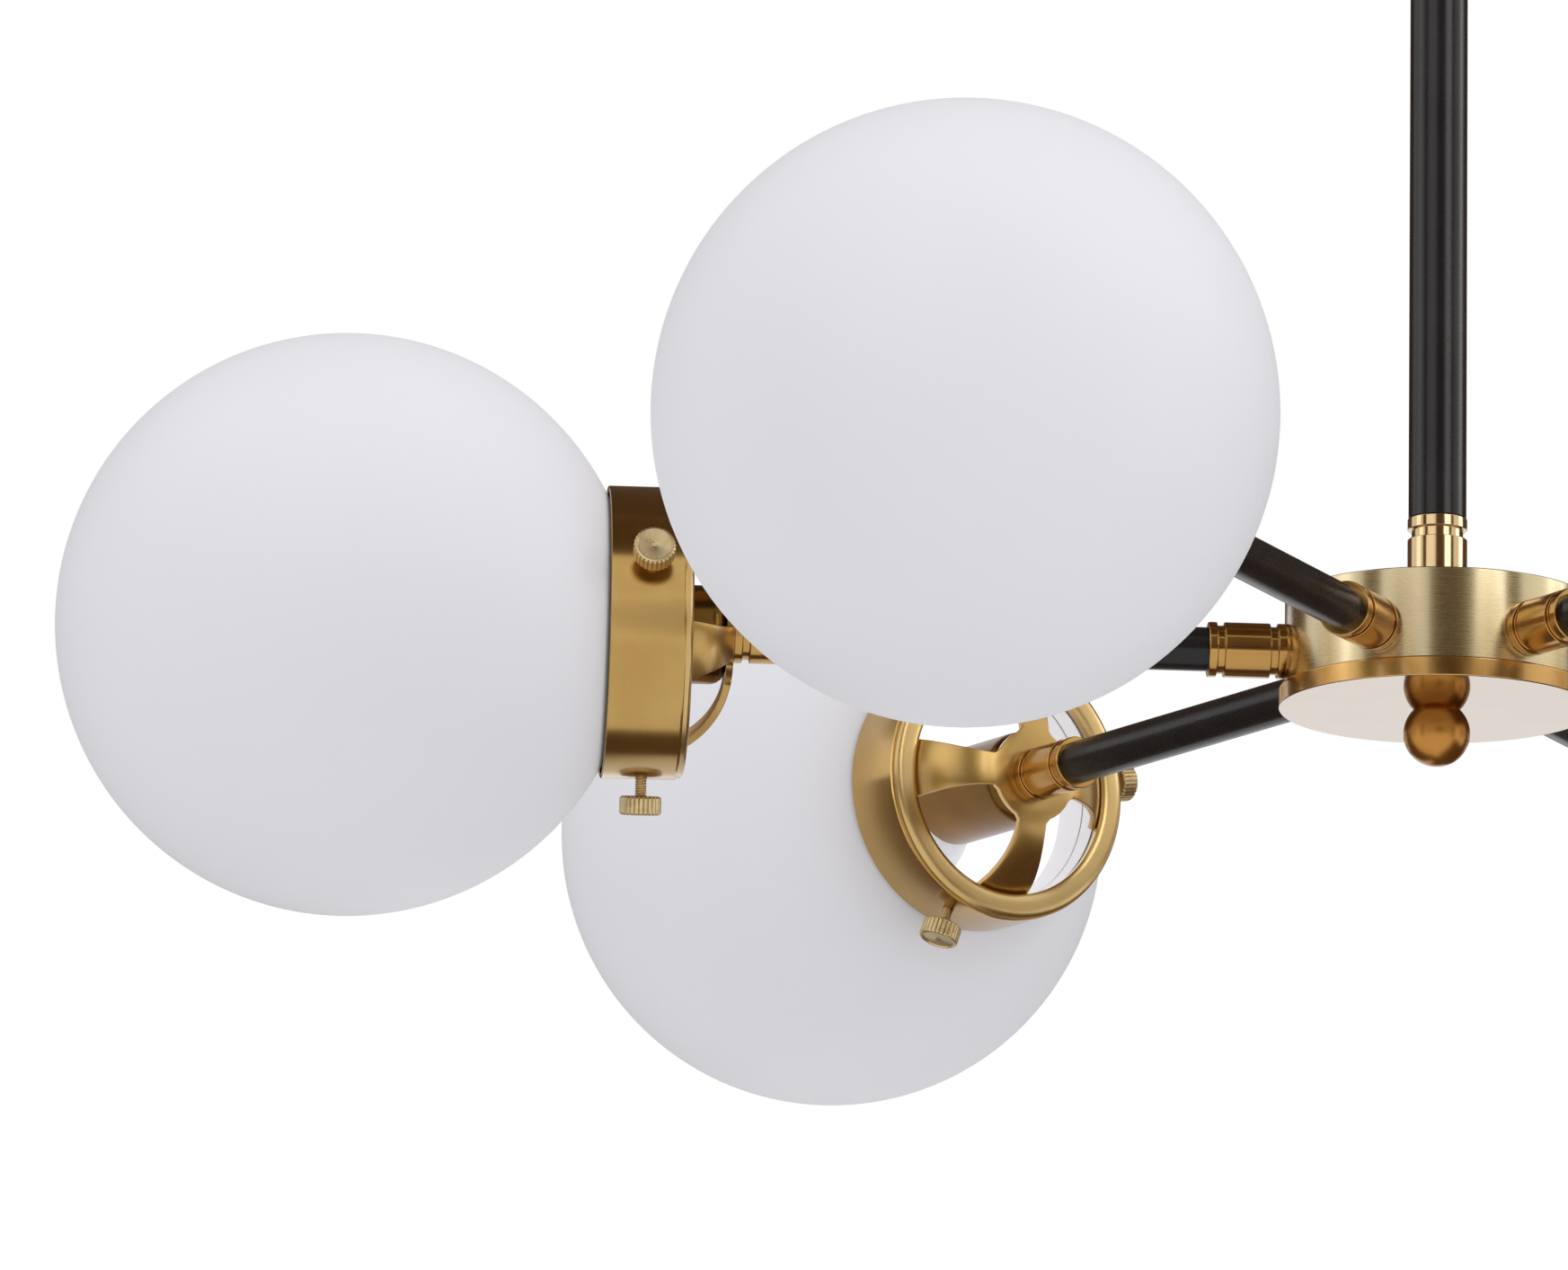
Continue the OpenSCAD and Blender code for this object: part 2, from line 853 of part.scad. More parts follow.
// Two short screws leave the middle of the swivel open for the lead
module pivot_screws() {
    shank_end = tongue_r - pivot_in;
    color(screw_brass)
        for (side = [0, 1])
            mirror([side, 0, 0])
                translate([shank_end, 0, pivot_z])
                    rotate([0, 90, 0]) {
                        cylinder(r = pivot_r, h = coupling_r - shank_end, $fn = small_fn);
                        translate([0, 0, coupling_r - shank_end])
                            pivot_head();
                    }
}

module pivot_head() {
    slot = 0.8;
    difference() {
        cylinder(r1 = pivot_head_r, r2 = pivot_head_r - edge, h = pivot_head_h);
        translate([-pivot_head_r, -slot / 2, pivot_head_h - slot])
            cube([2 * pivot_head_r, slot, slot + over]);
    }
}

// What is cut from a cylinder, seen along X, to leave ears with flat sides and round ends
module ear_cutter(slot_h) {
    reach = 2 * coupling_r;
    rotate([90, 0, 90])
        translate([0, 0, -reach])
            linear_extrude(2 * reach)
                difference() {
                    translate([-reach, -reach])
                        square([2 * reach, reach + slot_h]);
                    circle(r = ear_r);
                    translate([-ear_r, 0])
                        square([2 * ear_r, slot_h + over]);
                }
}

// A collar with two ears that hold the tongue, and a threaded stem through the canopy
module swivel_fork() {
    slot_h = fork_z - fork_top - pivot_z;
    color(brass)
        difference() {
            rotate([0, 0, 45]) {
                translate([0, 0, pivot_z - ear_r])
                    cylinder(r = coupling_r, h = fork_z - pivot_z + ear_r);
                translate([0, 0, fork_z - over])
                    cylinder(r = nipple_r, h = stem_top - fork_z + over, $fn = small_fn);
            }
            translate([0, 0, pivot_z])
                ear_cutter(slot_h);
            translate([-ear_gap, -2 * coupling_r, pivot_z - 2 * ear_r])
                cube([2 * ear_gap, 4 * coupling_r, slot_h + 2 * ear_r]);
            translate([0, 0, fork_z - fork_top - over])
                cylinder(r = lead_hole_r, h = stem_top - fork_z + fork_top + 2 * over, $fn = small_fn);
            translate([-2 * coupling_r, 0, pivot_z])
                rotate([0, 90, 0])
                    cylinder(r = pivot_r + fit_gap, h = 4 * coupling_r, $fn = small_fn);
        }
}

module canopy_locknut() {
    color(steel)
        translate([0, 0, -canopy_h + canopy_t + seat_gap])
            nut();
}

module canopy_lead() {
    low = pivot_z + tongue_r + seat_gap;
    color("dimgray")
        translate([0, 0, low])
            cylinder(r = lead_r, h = stem_top + 3 - low, $fn = small_fn);
}

module canopy() {
    color(brass)
        translate([0, 0, -canopy_h])
            difference() {
                rotate_extrude()
                    difference() {
                        dish_outline(canopy_r, canopy_h, canopy_corner_r);
                        translate([0, canopy_t])
                            dish_outline(canopy_r - canopy_t, canopy_h, canopy_corner_r - canopy_t);
                    }
                translate([0, 0, -over])
                    cylinder(r = nipple_hole_r, h = canopy_t + 2 * over, $fn = small_fn);
                stud_places()
                    translate([0, 0, -over])
                        cylinder(r = stud_r + seat_gap, h = canopy_t + 2 * over, $fn = small_fn);
            }
}

module stud_places() {
    for (side = [-1, 1])
        translate([side * stud_spacing / 2, 0, 0])
            children();
}

// A slot along X, centred on its middle
module slot_shape(l, r, h) {
    for (side = [-1, 1])
        translate([side * (l / 2 - r), 0, 0])
            cylinder(r = r, h = h, $fn = small_fn);
    translate([-l / 2 + r, -r, 0])
        cube([l - 2 * r, 2 * r, h]);
}

module crossbar() {
    color(steel)
        translate([0, 0, -bar_t])
            difference() {
                intersection() {
                    translate([-bar_l / 2, -bar_w / 2, 0])
                        cube([bar_l, bar_w, bar_t]);
                    cylinder(d = bar_l, h = bar_t);
                }
                translate([0, 0, -over])
                    cylinder(r = nipple_hole_r, h = bar_t + 2 * over, $fn = small_fn);
                for (side = [-1, 1])
                    translate([side * slot_spacing / 2, 0, -over])
                        slot_shape(slot_l, slot_r, bar_t + 2 * over);
                stud_places()
                    translate([0, 0, -over])
                        cylinder(r = stud_r + fit_gap, h = bar_t + 2 * over, $fn = small_fn);
            }
}

module canopy_studs() {
    color(steel)
        stud_places()
            translate([0, 0, -canopy_h - stud_in])
                cylinder(r = stud_r, h = canopy_h + stud_in, $fn = small_fn);
}

module cap_nuts() {
    cap_r = cap_nut_d / 2;
    color(brass)
        stud_places()
            translate([0, 0, -canopy_h])
                mirror([0, 0, 1])
                    difference() {
                        union() {
                            cylinder(r = cap_r, h = cap_nut_h - cap_r);
                            translate([0, 0, cap_nut_h - cap_r])
                                intersection() {
                                    sphere(r = cap_r, $fn = small_fn);
                                    cylinder(r = cap_r + over, h = cap_r + over, $fn = small_fn);
                                }
                        }
                        translate([0, 0, -over])
                            cylinder(r = stud_r + fit_gap, h = stud_in + fit_gap + over, $fn = small_fn);
                    }
}

for (k = per_arm) {
    for (s = [0:screws_per_holder - 1])
        thumbscrew(k, s);
    globe(k);
    holder(k);
}
spiders();
socket_cups();
lampholders();
screw_shells();
bulbs();
holder_collars();
arm_tubes();
hub_collars();
arm_nipples();
arm_nuts();
arm_leads();
hub_drum();
hub_cover();
ball_finial();
centre_nipple();
hub_nut();
hub_coupling();
lower_rod();
rod_coupling();
upper_rod();
main_lead();
swivel_tongue();
pivot_screws();
swivel_fork();
canopy_locknut();
canopy_lead();
canopy();
crossbar();
canopy_studs();
cap_nuts();
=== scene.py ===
import math

import bmesh
import bpy
from mathutils import Matrix, Vector


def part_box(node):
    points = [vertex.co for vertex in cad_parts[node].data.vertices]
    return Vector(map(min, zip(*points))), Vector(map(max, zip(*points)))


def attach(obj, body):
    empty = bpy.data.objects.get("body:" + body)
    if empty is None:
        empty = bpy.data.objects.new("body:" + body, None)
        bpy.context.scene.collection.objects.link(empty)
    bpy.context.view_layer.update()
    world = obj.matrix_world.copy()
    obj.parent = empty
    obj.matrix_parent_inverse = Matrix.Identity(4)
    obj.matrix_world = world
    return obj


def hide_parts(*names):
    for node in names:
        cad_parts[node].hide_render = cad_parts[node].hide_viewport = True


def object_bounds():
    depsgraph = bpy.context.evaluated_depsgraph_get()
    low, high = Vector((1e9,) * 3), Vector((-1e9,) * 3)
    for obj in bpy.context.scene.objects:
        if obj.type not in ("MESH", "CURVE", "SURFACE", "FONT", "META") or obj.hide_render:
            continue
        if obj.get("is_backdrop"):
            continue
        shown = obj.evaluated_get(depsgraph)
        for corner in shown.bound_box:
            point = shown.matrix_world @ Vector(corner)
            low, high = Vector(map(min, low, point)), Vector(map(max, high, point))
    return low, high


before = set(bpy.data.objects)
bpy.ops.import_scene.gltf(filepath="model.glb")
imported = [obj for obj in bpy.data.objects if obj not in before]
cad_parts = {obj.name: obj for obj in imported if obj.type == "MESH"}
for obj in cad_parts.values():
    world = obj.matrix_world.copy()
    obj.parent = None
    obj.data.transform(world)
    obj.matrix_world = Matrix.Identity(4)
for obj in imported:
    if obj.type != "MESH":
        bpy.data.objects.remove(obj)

cad_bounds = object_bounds()

# Lengths are in metres; MM turns the small sizes, which are named in millimetres, into metres
MM = 0.001
ARM_COUNT = 6
SCREW_LETTERS = ("a", "b", "c")


def size_of(length):
    """A length read from the frame's mesh, rounded to a tenth of a millimetre."""
    return round(length, 4)


def half_width(node):
    """Half of a node's width across arm 1, which is the radius of a round one."""
    low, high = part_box(node)
    return size_of((high.y - low.y) / 2)


# Stations along arm 1, which lies along +X, and radii about it
ARM_Z = size_of(sum(corner.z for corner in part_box("globe_1")) / 2)
GLOBE_R = half_width("globe_1")
GLOBE_U = size_of(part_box("globe_1")[1].x - GLOBE_R)
GLASS_BACK = size_of(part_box("globe_1")[0].x)
HOLDER_BACK = size_of(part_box("holder_1")[0].x)
HOLDER_FRONT = size_of(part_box("holder_1")[1].x)
BAND_R = half_width("holder_1")
SPIDER_BACK = size_of(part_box("holder_collars")[1].x)
CUP_END = size_of(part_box("socket_cups")[1].x)
TUBE_START = size_of(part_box("hub_collars")[1].x)

# Sizes of the pieces round the arms
GLASS_T = 3 * MM
NECK_R = 45 * MM
GLASS_LIP_RISE = 2.6 * MM
GLASS_LIP_H = 3 * MM
BAND_T = 1.5 * MM
RIM_T = 3 * MM
RIM_W = 9.3 * MM
RIM_STEP = 0.8 * MM
SCREW_BACK = 14.3 * MM
SPIDER_T = 2.4 * MM
SPIDER_FLANGE_R = 48.5 * MM
DOME_FLAT_R = 11.4 * MM
DOME_ARC_R = 32.4 * MM
DISC_R = 17 * MM
SPOKE_HALF_W = 6 * MM
SPOKE_FLARE_R = 60 * MM
DISC_CORNER_R = 2.5 * MM
CUP_R = 17 * MM
CUP_T = 1 * MM
COLLAR_R = 9.5 * MM
COLLAR_BAND = 3 * MM
COLLAR_GROOVE_W = 2.6 * MM
COLLAR_GROOVE_H = 1.2 * MM
TUBE_R = 7.6 * MM
TUBE_T = 1.2 * MM
TUBE_SOCKET = 8 * MM
NIPPLE_R = 5.05 * MM

# Turns of the holders and spiders about their arms, in degrees and as in the CAD. Arms 3 and 4
# have turns of their own, as in the photograph
HOLDER_TURN = {3: 20, 4: -14}
SPIDER_TURN = {3: 1, 4: -21}
SPIDER_TURN_USUAL = 16


# The camera, as fitted to the photograph: it looks up at the light from below the hub
PHOTO_W = 1745
FOCAL_PX = 13324.3
SENSOR_W_MM = 36.0
CAMERA_DISTANCE = 4.136
CAMERA_AZIMUTH = math.radians(-6.52)
CAMERA_ELEVATION = math.radians(-12.849)
CAMERA_HEADING = math.radians(3.317)
CAMERA_PITCH = math.radians(12.919)
CAMERA_ROLL = math.radians(0.912)


def make_camera():
    data = bpy.data.cameras.new("photo_camera")
    data.sensor_fit = "HORIZONTAL"
    data.sensor_width = SENSOR_W_MM
    data.lens = FOCAL_PX / PHOTO_W * SENSOR_W_MM
    data.clip_end = 100
    camera = bpy.data.objects.new("photo_camera", data)
    bpy.context.scene.collection.objects.link(camera)
    bpy.context.scene.camera = camera

    level = math.cos(CAMERA_ELEVATION)
    back = Vector((
        math.sin(CAMERA_AZIMUTH) * level,
        -math.cos(CAMERA_AZIMUTH) * level,
        math.sin(CAMERA_ELEVATION),
    ))
    forward = Vector((
        math.sin(CAMERA_HEADING) * math.cos(CAMERA_PITCH),
        math.cos(CAMERA_HEADING) * math.cos(CAMERA_PITCH),
        math.sin(CAMERA_PITCH),
    ))
    right = Vector((math.cos(CAMERA_HEADING), -math.sin(CAMERA_HEADING), 0))
    turn = Matrix.Rotation(-CAMERA_ROLL, 3, forward)
    right = turn @ right
    up = right.cross(forward)
    axes = Matrix((right, up, -forward)).transposed().to_4x4()
    place = Vector((0, 0, ARM_Z)) + back * CAMERA_DISTANCE
    camera.matrix_world = Matrix.Translation(place) @ axes


make_camera()


# Materials

class Shader:
    """A material with a Principled shader, and short ways to add nodes to it."""

    def __init__(self, name, **constants):
        self.material = bpy.data.materials.new(name)
        self.material.use_nodes = True
        self.tree = self.material.node_tree
        self.principled = self.tree.nodes["Principled BSDF"]
        for socket, value in constants.items():
            self.principled.inputs[socket.replace("_", " ")].default_value = value

    def node(self, kind, settings=None, **links):
        made = self.tree.nodes.new(kind)
        for key, value in (settings or {}).items():
            setattr(made, key, value)
        for socket, value in links.items():
            self.put(value, made.inputs[socket.replace("_", " ")])
        return made

    def put(self, value, socket):
        """A node output is linked to the socket; anything else is set as its constant."""
        if isinstance(value, bpy.types.NodeSocket):
            self.tree.links.new(value, socket)
        else:
            socket.default_value = value

    def math(self, operation, first, second=0.0):
        made = self.tree.nodes.new("ShaderNodeMath")
        made.operation = operation
        for socket, value in zip(made.inputs, (first, second)):
            self.put(value, socket)
        return made.outputs[0]

    def coordinates(self):
        return self.node("ShaderNodeTexCoord").outputs["Object"]

    def noise(self, vector, scale, detail=2.0, roughness=0.5):
        made = self.node(
            "ShaderNodeTexNoise", Vector=vector, Scale=scale, Detail=detail, Roughness=roughness
        )
        return made.outputs["Fac"]

    def brush_lines(self, around, across):
        """Coordinates in which a noise is drawn out into lines round the piece's Z axis."""
        x, y, z = self.node("ShaderNodeSeparateXYZ", Vector=self.coordinates()).outputs
        squares = self.math("ADD", self.math("POWER", x, 2.0), self.math("POWER", y, 2.0))
        radius = self.math("MAXIMUM", self.math("SQRT", squares), 0.1 * MM)
        made = self.node(
            "ShaderNodeCombineXYZ",
            X=self.math("MULTIPLY", self.math("DIVIDE", x, radius), around),
            Y=self.math("MULTIPLY", self.math("DIVIDE", y, radius), around),
            Z=self.math("MULTIPLY", self.math("ADD", z, radius), across),
        )
        return made.outputs[0]

    def ramp(self, factor, *stops):
        """Colours or levels at places from 0 to 1 along the factor."""
        made = self.node("ShaderNodeValToRGB", Fac=factor)
        elements = made.color_ramp.elements
        while len(elements) < len(stops):
            elements.new(0.5)
        for element, (place, value) in zip(elements, stops):
            element.position = place
            element.color = (*value, 1) if isinstance(value, tuple) else (value, value, value, 1)
        return made.outputs["Color"]

    def bump(self, height, distance):
        made = self.node("ShaderNodeBump", Height=height, Distance=distance, Strength=1.0)
        return made.outputs["Normal"]

    def finish(self, **links):
        for socket, value in links.items():
            self.put(value, self.principled.inputs[socket.replace("_", " ")])
        return self.material


# Each brass has three tints, from its darker clouds to its lighter ones
BRASS_TINTS = ((0.49, 0.29, 0.075), (0.545, 0.335, 0.095), (0.60, 0.385, 0.12))
HUB_TINTS = ((0.56, 0.435, 0.21), (0.62, 0.49, 0.245), (0.67, 0.54, 0.28))
COLLAR_TINTS = ((0.47, 0.25, 0.065), (0.54, 0.30, 0.08), (0.60, 0.345, 0.10))
LIP_TINTS = ((0.60, 0.40, 0.14), (0.66, 0.45, 0.17), (0.70, 0.50, 0.20))
# The cup's tints are far darker than brass: painted shade for the shade inside the globe, behind
# the spider
CUP_PAINTED_SHADE_TINTS = ((0.13, 0.062, 0.013), (0.155, 0.078, 0.017), (0.185, 0.097, 0.023))


def satin_brass(
    name, roughness=0.2, tints=BRASS_TINTS, lacquer=0.6, lacquer_ior=1.5, brushing=0.6
):
    """Lacquered brass, brushed round its own Z. Less brushing leaves softer, finer lines."""
    shader = Shader(
        name, Metallic=1.0, Anisotropic=0.55, Anisotropic_Rotation=0.25,
        Coat_Weight=lacquer, Coat_Roughness=0.14, Coat_IOR=lacquer_ior
    )
    lines = shader.brush_lines(around=2.0, across=2300.0)
    fine = shader.noise(lines, 1.0, detail=3.0, roughness=0.65)
    cloud = shader.noise(shader.coordinates(), 38.0, detail=3.0)
    share = 0.4 * brushing
    mixed = shader.math(
        "ADD", shader.math("MULTIPLY", fine, share), shader.math("MULTIPLY", cloud, 1 - share)
    )
    colour = shader.ramp(mixed, *zip((0.3, 0.5, 0.7), tints))
    spread = 0.18 * brushing
    rough = shader.ramp(fine, (0.25, roughness * (1 - spread)), (0.75, roughness * (1 + spread)))
    normal = shader.bump(fine, 0.006 * brushing * MM)
    tangent = shader.node("ShaderNodeTangent", {"direction_type": "RADIAL", "axis": "Z"})
    return shader.finish(
        Base_Color=colour, Roughness=rough, Normal=normal, Tangent=tangent.outputs[0]
    )


def polished_brass(name, tint, roughness=0.09, lacquer=1.0, lacquer_ior=2.0):
    """Brass under a clear lacquer, with clouds of tarnish and the faintest of turning marks."""
    shader = Shader(
        name, Metallic=1.0, Coat_Weight=lacquer, Coat_Roughness=0.04, Coat_IOR=lacquer_ior
    )
    lines = shader.brush_lines(around=3.0, across=1500.0)
    fine = shader.noise(lines, 1.0, detail=2.0)
    cloud = shader.noise(shader.coordinates(), 55.0, detail=4.0)
    deeper = tuple(0.86 * value for value in tint)
    colour = shader.ramp(cloud, (0.3, deeper), (0.7, tint))
    rough = shader.ramp(cloud, (0.3, roughness * 0.8), (0.75, roughness * 1.5))
    normal = shader.bump(fine, 0.002 * MM)
    return shader.finish(Base_Color=colour, Roughness=rough, Normal=normal)


def screw_brass():
    """Bare brass of turned screws, yellower and duller than the lacquered parts."""
    shader = Shader("screw_brass", Metallic=1.0)
    lines = shader.brush_lines(around=1.5, across=4200.0)
    fine = shader.noise(lines, 1.0, detail=2.0)
    cloud = shader.noise(shader.coordinates(), 260.0, detail=3.0)
    colour = shader.ramp(cloud, (0.3, (0.60, 0.46, 0.24)), (0.7, (0.76, 0.61, 0.36)))
    rough = shader.ramp(fine, (0.3, 0.26), (0.75, 0.42))
    normal = shader.bump(fine, 0.012 * MM)
    return shader.finish(Base_Color=colour, Roughness=rough, Normal=normal)


def black_paint():
    """Satin powder coat: a low gloss and a fine orange peel."""
    shader = Shader("black_paint", Specular_IOR_Level=0.36)
    peel = shader.noise(shader.coordinates(), 1100.0, detail=2.0)
    cloud = shader.noise(shader.coordinates(), 45.0, detail=3.0)
    colour = shader.ramp(cloud, (0.3, (0.009, 0.0072, 0.0068)), (0.7, (0.014, 0.0115, 0.011)))
    rough = shader.ramp(peel, (0.3, 0.22), (0.7, 0.28))
    normal = shader.bump(peel, 0.006 * MM)
    return shader.finish(Base_Color=colour, Roughness=rough, Normal=normal)


def opal_glass(name, painted_glow=0.0):
    """White opal glass with a fine etched skin. A glow can be painted on its inside, as painted
    light for what the wall lets in.
    """
    shader = Shader(
        name, Specular_IOR_Level=0.32, Emission_Strength=painted_glow, Emission_Color=(0.97, 0.98, 1.0, 1.0)
    )
    cloud = shader.noise(shader.coordinates(), 9.0, detail=2.0)
    grain = shader.noise(shader.coordinates(), 2200.0, detail=1.0)
    colour = shader.ramp(cloud, (0.3, (0.81, 0.80, 0.83)), (0.7, (0.835, 0.825, 0.85)))
    rough = shader.ramp(grain, (0.3, 0.5), (0.7, 0.58))
    normal = shader.bump(grain, 0.003 * MM)
    return shader.finish(Base_Color=colour, Roughness=rough, Normal=normal)


def zinc_steel():
    """Zinc-plated steel with the cloudy spangle of its plating."""
    shader = Shader("zinc_steel", Metallic=1.0)
    cloud = shader.noise(shader.coordinates(), 160.0, detail=4.0)
    colour = shader.ramp(cloud, (0.3, (0.47, 0.48, 0.50)), (0.7, (0.62, 0.63, 0.64)))
    rough = shader.ramp(cloud, (0.25, 0.28), (0.75, 0.46))
    return shader.finish(Base_Color=colour, Roughness=rough, Normal=shader.bump(cloud, 0.03 * MM))


def moulded(name, dark, light, roughness, scale=120.0):
    """Moulded plastic, glaze or rubber: two close colours and a faint skin."""
    shader = Shader(name, Specular_IOR_Level=0.45)
    cloud = shader.noise(shader.coordinates(), scale, detail=3.0)
    colour = shader.ramp(cloud, (0.3, dark), (0.7, light))
    rough = shader.ramp(cloud, (0.3, roughness * 0.85), (0.7, roughness * 1.15))
    return shader.finish(Base_Color=colour, Roughness=rough, Normal=shader.bump(cloud, 0.02 * MM))


SATIN = satin_brass("satin_brass")
COLLAR_SATIN = satin_brass(
    "collar_brass", roughness=0.19, tints=COLLAR_TINTS, lacquer=0.35, brushing=0.3
)
SPIDER_SATIN = satin_brass("spider_brass", roughness=0.28, brushing=0.1)
RIM_SATIN = satin_brass("rim_brass", roughness=0.3, tints=LIP_TINTS, brushing=0.2)
# The socket cups get near-black brass, painted shade for their place inside the globes
CUP_PAINTED_SHADE = satin_brass("cup_brass_painted_shade", roughness=0.25, tints=CUP_PAINTED_SHADE_TINTS, lacquer=0.0, brushing=0.3)
POLISHED = polished_brass("polished_brass", tint=(0.45, 0.31, 0.175))
LIP_BRASS = polished_brass(
    "lip_brass", roughness=0.22, tint=(0.66, 0.38, 0.11), lacquer=0.5, lacquer_ior=1.5
)
COUPLING_BRASS = polished_brass("coupling_brass", roughness=0.13, tint=(0.62, 0.41, 0.16))
BALL_BRASS = polished_brass(
    "ball_brass", roughness=0.27, tint=(0.60, 0.27, 0.05), lacquer=0.3, lacquer_ior=1.5
)
HUB_SATIN = satin_brass(
    "hub_brass", roughness=0.27, tints=HUB_TINTS, lacquer=1.0, lacquer_ior=1.9, brushing=0.75
)
SCREW_BRASS = screw_brass()
BLACK = black_paint()
OPAL = opal_glass("opal_glass")
# The inside of the globes glows: painted light for the light that comes in through the opal wall
OPAL_PAINTED_GLOW = opal_glass("opal_glass_inside_painted_glow", painted_glow=0.34)
# Grey painted shade for the glass's edges in the holder's shadow, also used for thin painted
# reflection lines inside the neck
GLASS_PAINTED_SHADE_AND_LINES = moulded(
    "glass_painted_shade_and_lines", (0.30, 0.31, 0.33), (0.38, 0.39, 0.41), 0.4, scale=400.0
)
ZINC = zinc_steel()
IVORY = moulded("ivory_plastic", (0.66, 0.62, 0.51), (0.74, 0.70, 0.60), 0.3)
BULB_WHITE = moulded("bulb_plastic", (0.76, 0.76, 0.75), (0.82, 0.82, 0.81), 0.4)
LEAD = moulded("lead_sheath", (0.05, 0.045, 0.04), (0.09, 0.08, 0.07), 0.5, scale=700.0)


# Mesh helpers

SMOOTH_ANGLE = math.radians(32)


def rounded(corners, steps=3):
    """Points of a closed outline whose corners, each (radius, height, rounding), are rounded."""
    points = []
    for i, (x, y, rounding) in enumerate(corners):
        here = Vector((x, y))
        before = (Vector(corners[i - 1][:2]) - here).normalized()
        after = (Vector(corners[(i + 1) % len(corners)][:2]) - here).normalized()
        half = before.angle(after) / 2
        if rounding == 0 or half > math.radians(89):
            points.append(here)
            continue
        centre = here + (before + after).normalized() * (rounding / math.sin(half))
        start = here + before * (rounding / math.tan(half)) - centre
        end = here + after * (rounding / math.tan(half)) - centre
        for step in range(steps + 1):
            share = step / steps
            points.append(centre + start.lerp(end, share).normalized() * rounding)
    return points


def arc(centre, radius, start, end, steps):
    """Points on an arc, with the angles in degrees from the radius axis."""
    points = []
    for step in range(steps + 1):
        angle = math.radians(start + (end - start) * step / steps)
        points.append(Vector((
            centre[0] + radius * math.cos(angle), centre[1] + radius * math.sin(angle)
        )))
    return points


def lathe_mesh(name, outline, segments=96):
    """A closed outline of (radius, height) points turned round Z."""
    mesh = bmesh.new()
    rings = []
    for radius, height in outline:
        if radius < 0.01 * MM:
            rings.append([mesh.verts.new((0, 0, height))])
            continue
        ring = []
        for i in range(segments):
            angle = 2 * math.pi * i / segments
            x, y = radius * math.cos(angle), radius * math.sin(angle)
            ring.append(mesh.verts.new((x, y, height)))
        rings.append(ring)
    for i, ring in enumerate(rings):
        following = rings[(i + 1) % len(rings)]
        if len(ring) == 1 and len(following) == 1:
            continue
        for j in range(segments):
            k = (j + 1) % segments
            loop = [ring[j % len(ring)], ring[k % len(ring)]]
            loop += [following[k % len(following)], following[j % len(following)]]
            mesh.faces.new(list(dict.fromkeys(loop)))
    return finished_mesh(mesh, name)


def finished_mesh(mesh, name):
    """Turns a bmesh into a mesh with outward normals and smooth shading between sharp edges."""
    bmesh.ops.remove_doubles(mesh, verts=mesh.verts, dist=0.001 * MM)
    bmesh.ops.recalc_face_normals(mesh, faces=mesh.faces)
    data = bpy.data.meshes.new(name)
    mesh.to_mesh(data)
    mesh.free()
    data.shade_smooth()
    data.set_sharp_from_angle(angle=SMOOTH_ANGLE)
    return data


def with_modifiers(data, *modifiers):
    """The mesh after (type, settings) modifiers, for all the pieces that share it."""
    holder = bpy.data.objects.new(data.name, data)
    bpy.context.scene.collection.objects.link(holder)
    for kind, settings in modifiers:
        made = holder.modifiers.new(kind, kind)
        for key, value in settings.items():
            setattr(made, key, value)
    evaluated = holder.evaluated_get(bpy.context.evaluated_depsgraph_get())
    result = bpy.data.meshes.new_from_object(evaluated)
    result.name = data.name
    bpy.data.objects.remove(holder)
    bpy.data.meshes.remove(data)
    return result


def place(name, data, matrix, material, body, slot, *nodes):
    """Makes a piece of a mesh, at its place, on its body, in the stead of CAD nodes."""
    piece = bpy.data.objects.new(name, data)
    bpy.context.scene.collection.objects.link(piece)
    if not data.materials:
        data.materials.append(material)
    weighted = piece.modifiers.new("weighted", "WEIGHTED_NORMAL")
    weighted.keep_sharp = True
    piece.matrix_world = matrix
    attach(piece, body)
    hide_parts(*nodes)
    return piece


def arm_frame(k, turn=0.0):
    """The place of arm k: +Z runs outwards along it from the hub's axis."""
    about_hub = Matrix.Rotation(2 * math.pi / ARM_COUNT * (k - 1), 4, "Z")
    lay_down = Matrix.Rotation(math.pi / 2, 4, "Y")
    about_arm = Matrix.Rotation(math.radians(turn), 4, "Z")
    return Matrix.Translation((0, 0, ARM_Z)) @ about_hub @ lay_down @ about_arm


def on_arms(name, data, material, slot, node, turns=None, usual=0.0):
    """One piece of the mesh on each arm."""
    for k in range(1, ARM_COUNT + 1):
        turn = (turns or {}).get(k, usual)
        place(f"{name}_{k}", data, arm_frame(k, turn), material, "lamp", slot, node.format(k))


def along_frame(data, matrix):
    """A copy of the mesh with its place in its vertices, which gives a piece its true box."""
    made = data.copy()
    made.transform(matrix)
    return made


# Globes

GLOBE_FILLET = 3 * MM
GLASS_CHAMFER = 0.7 * MM
# Two thin strips inside the neck, painted grey as reflection lines
PAINTED_LINE_U = GLASS_BACK + 8.5 * MM
PAINTED_LINE_W = 0.7 * MM
GLOBE_SEGMENTS = 144
# Material slots of the globe: a painted glow on the inside, and grey painted shade and painted
# reflection lines on the edges and in the neck
PAINTED_GLOW_SLOT, PAINTED_SHADE_AND_LINES_SLOT = 1, 2


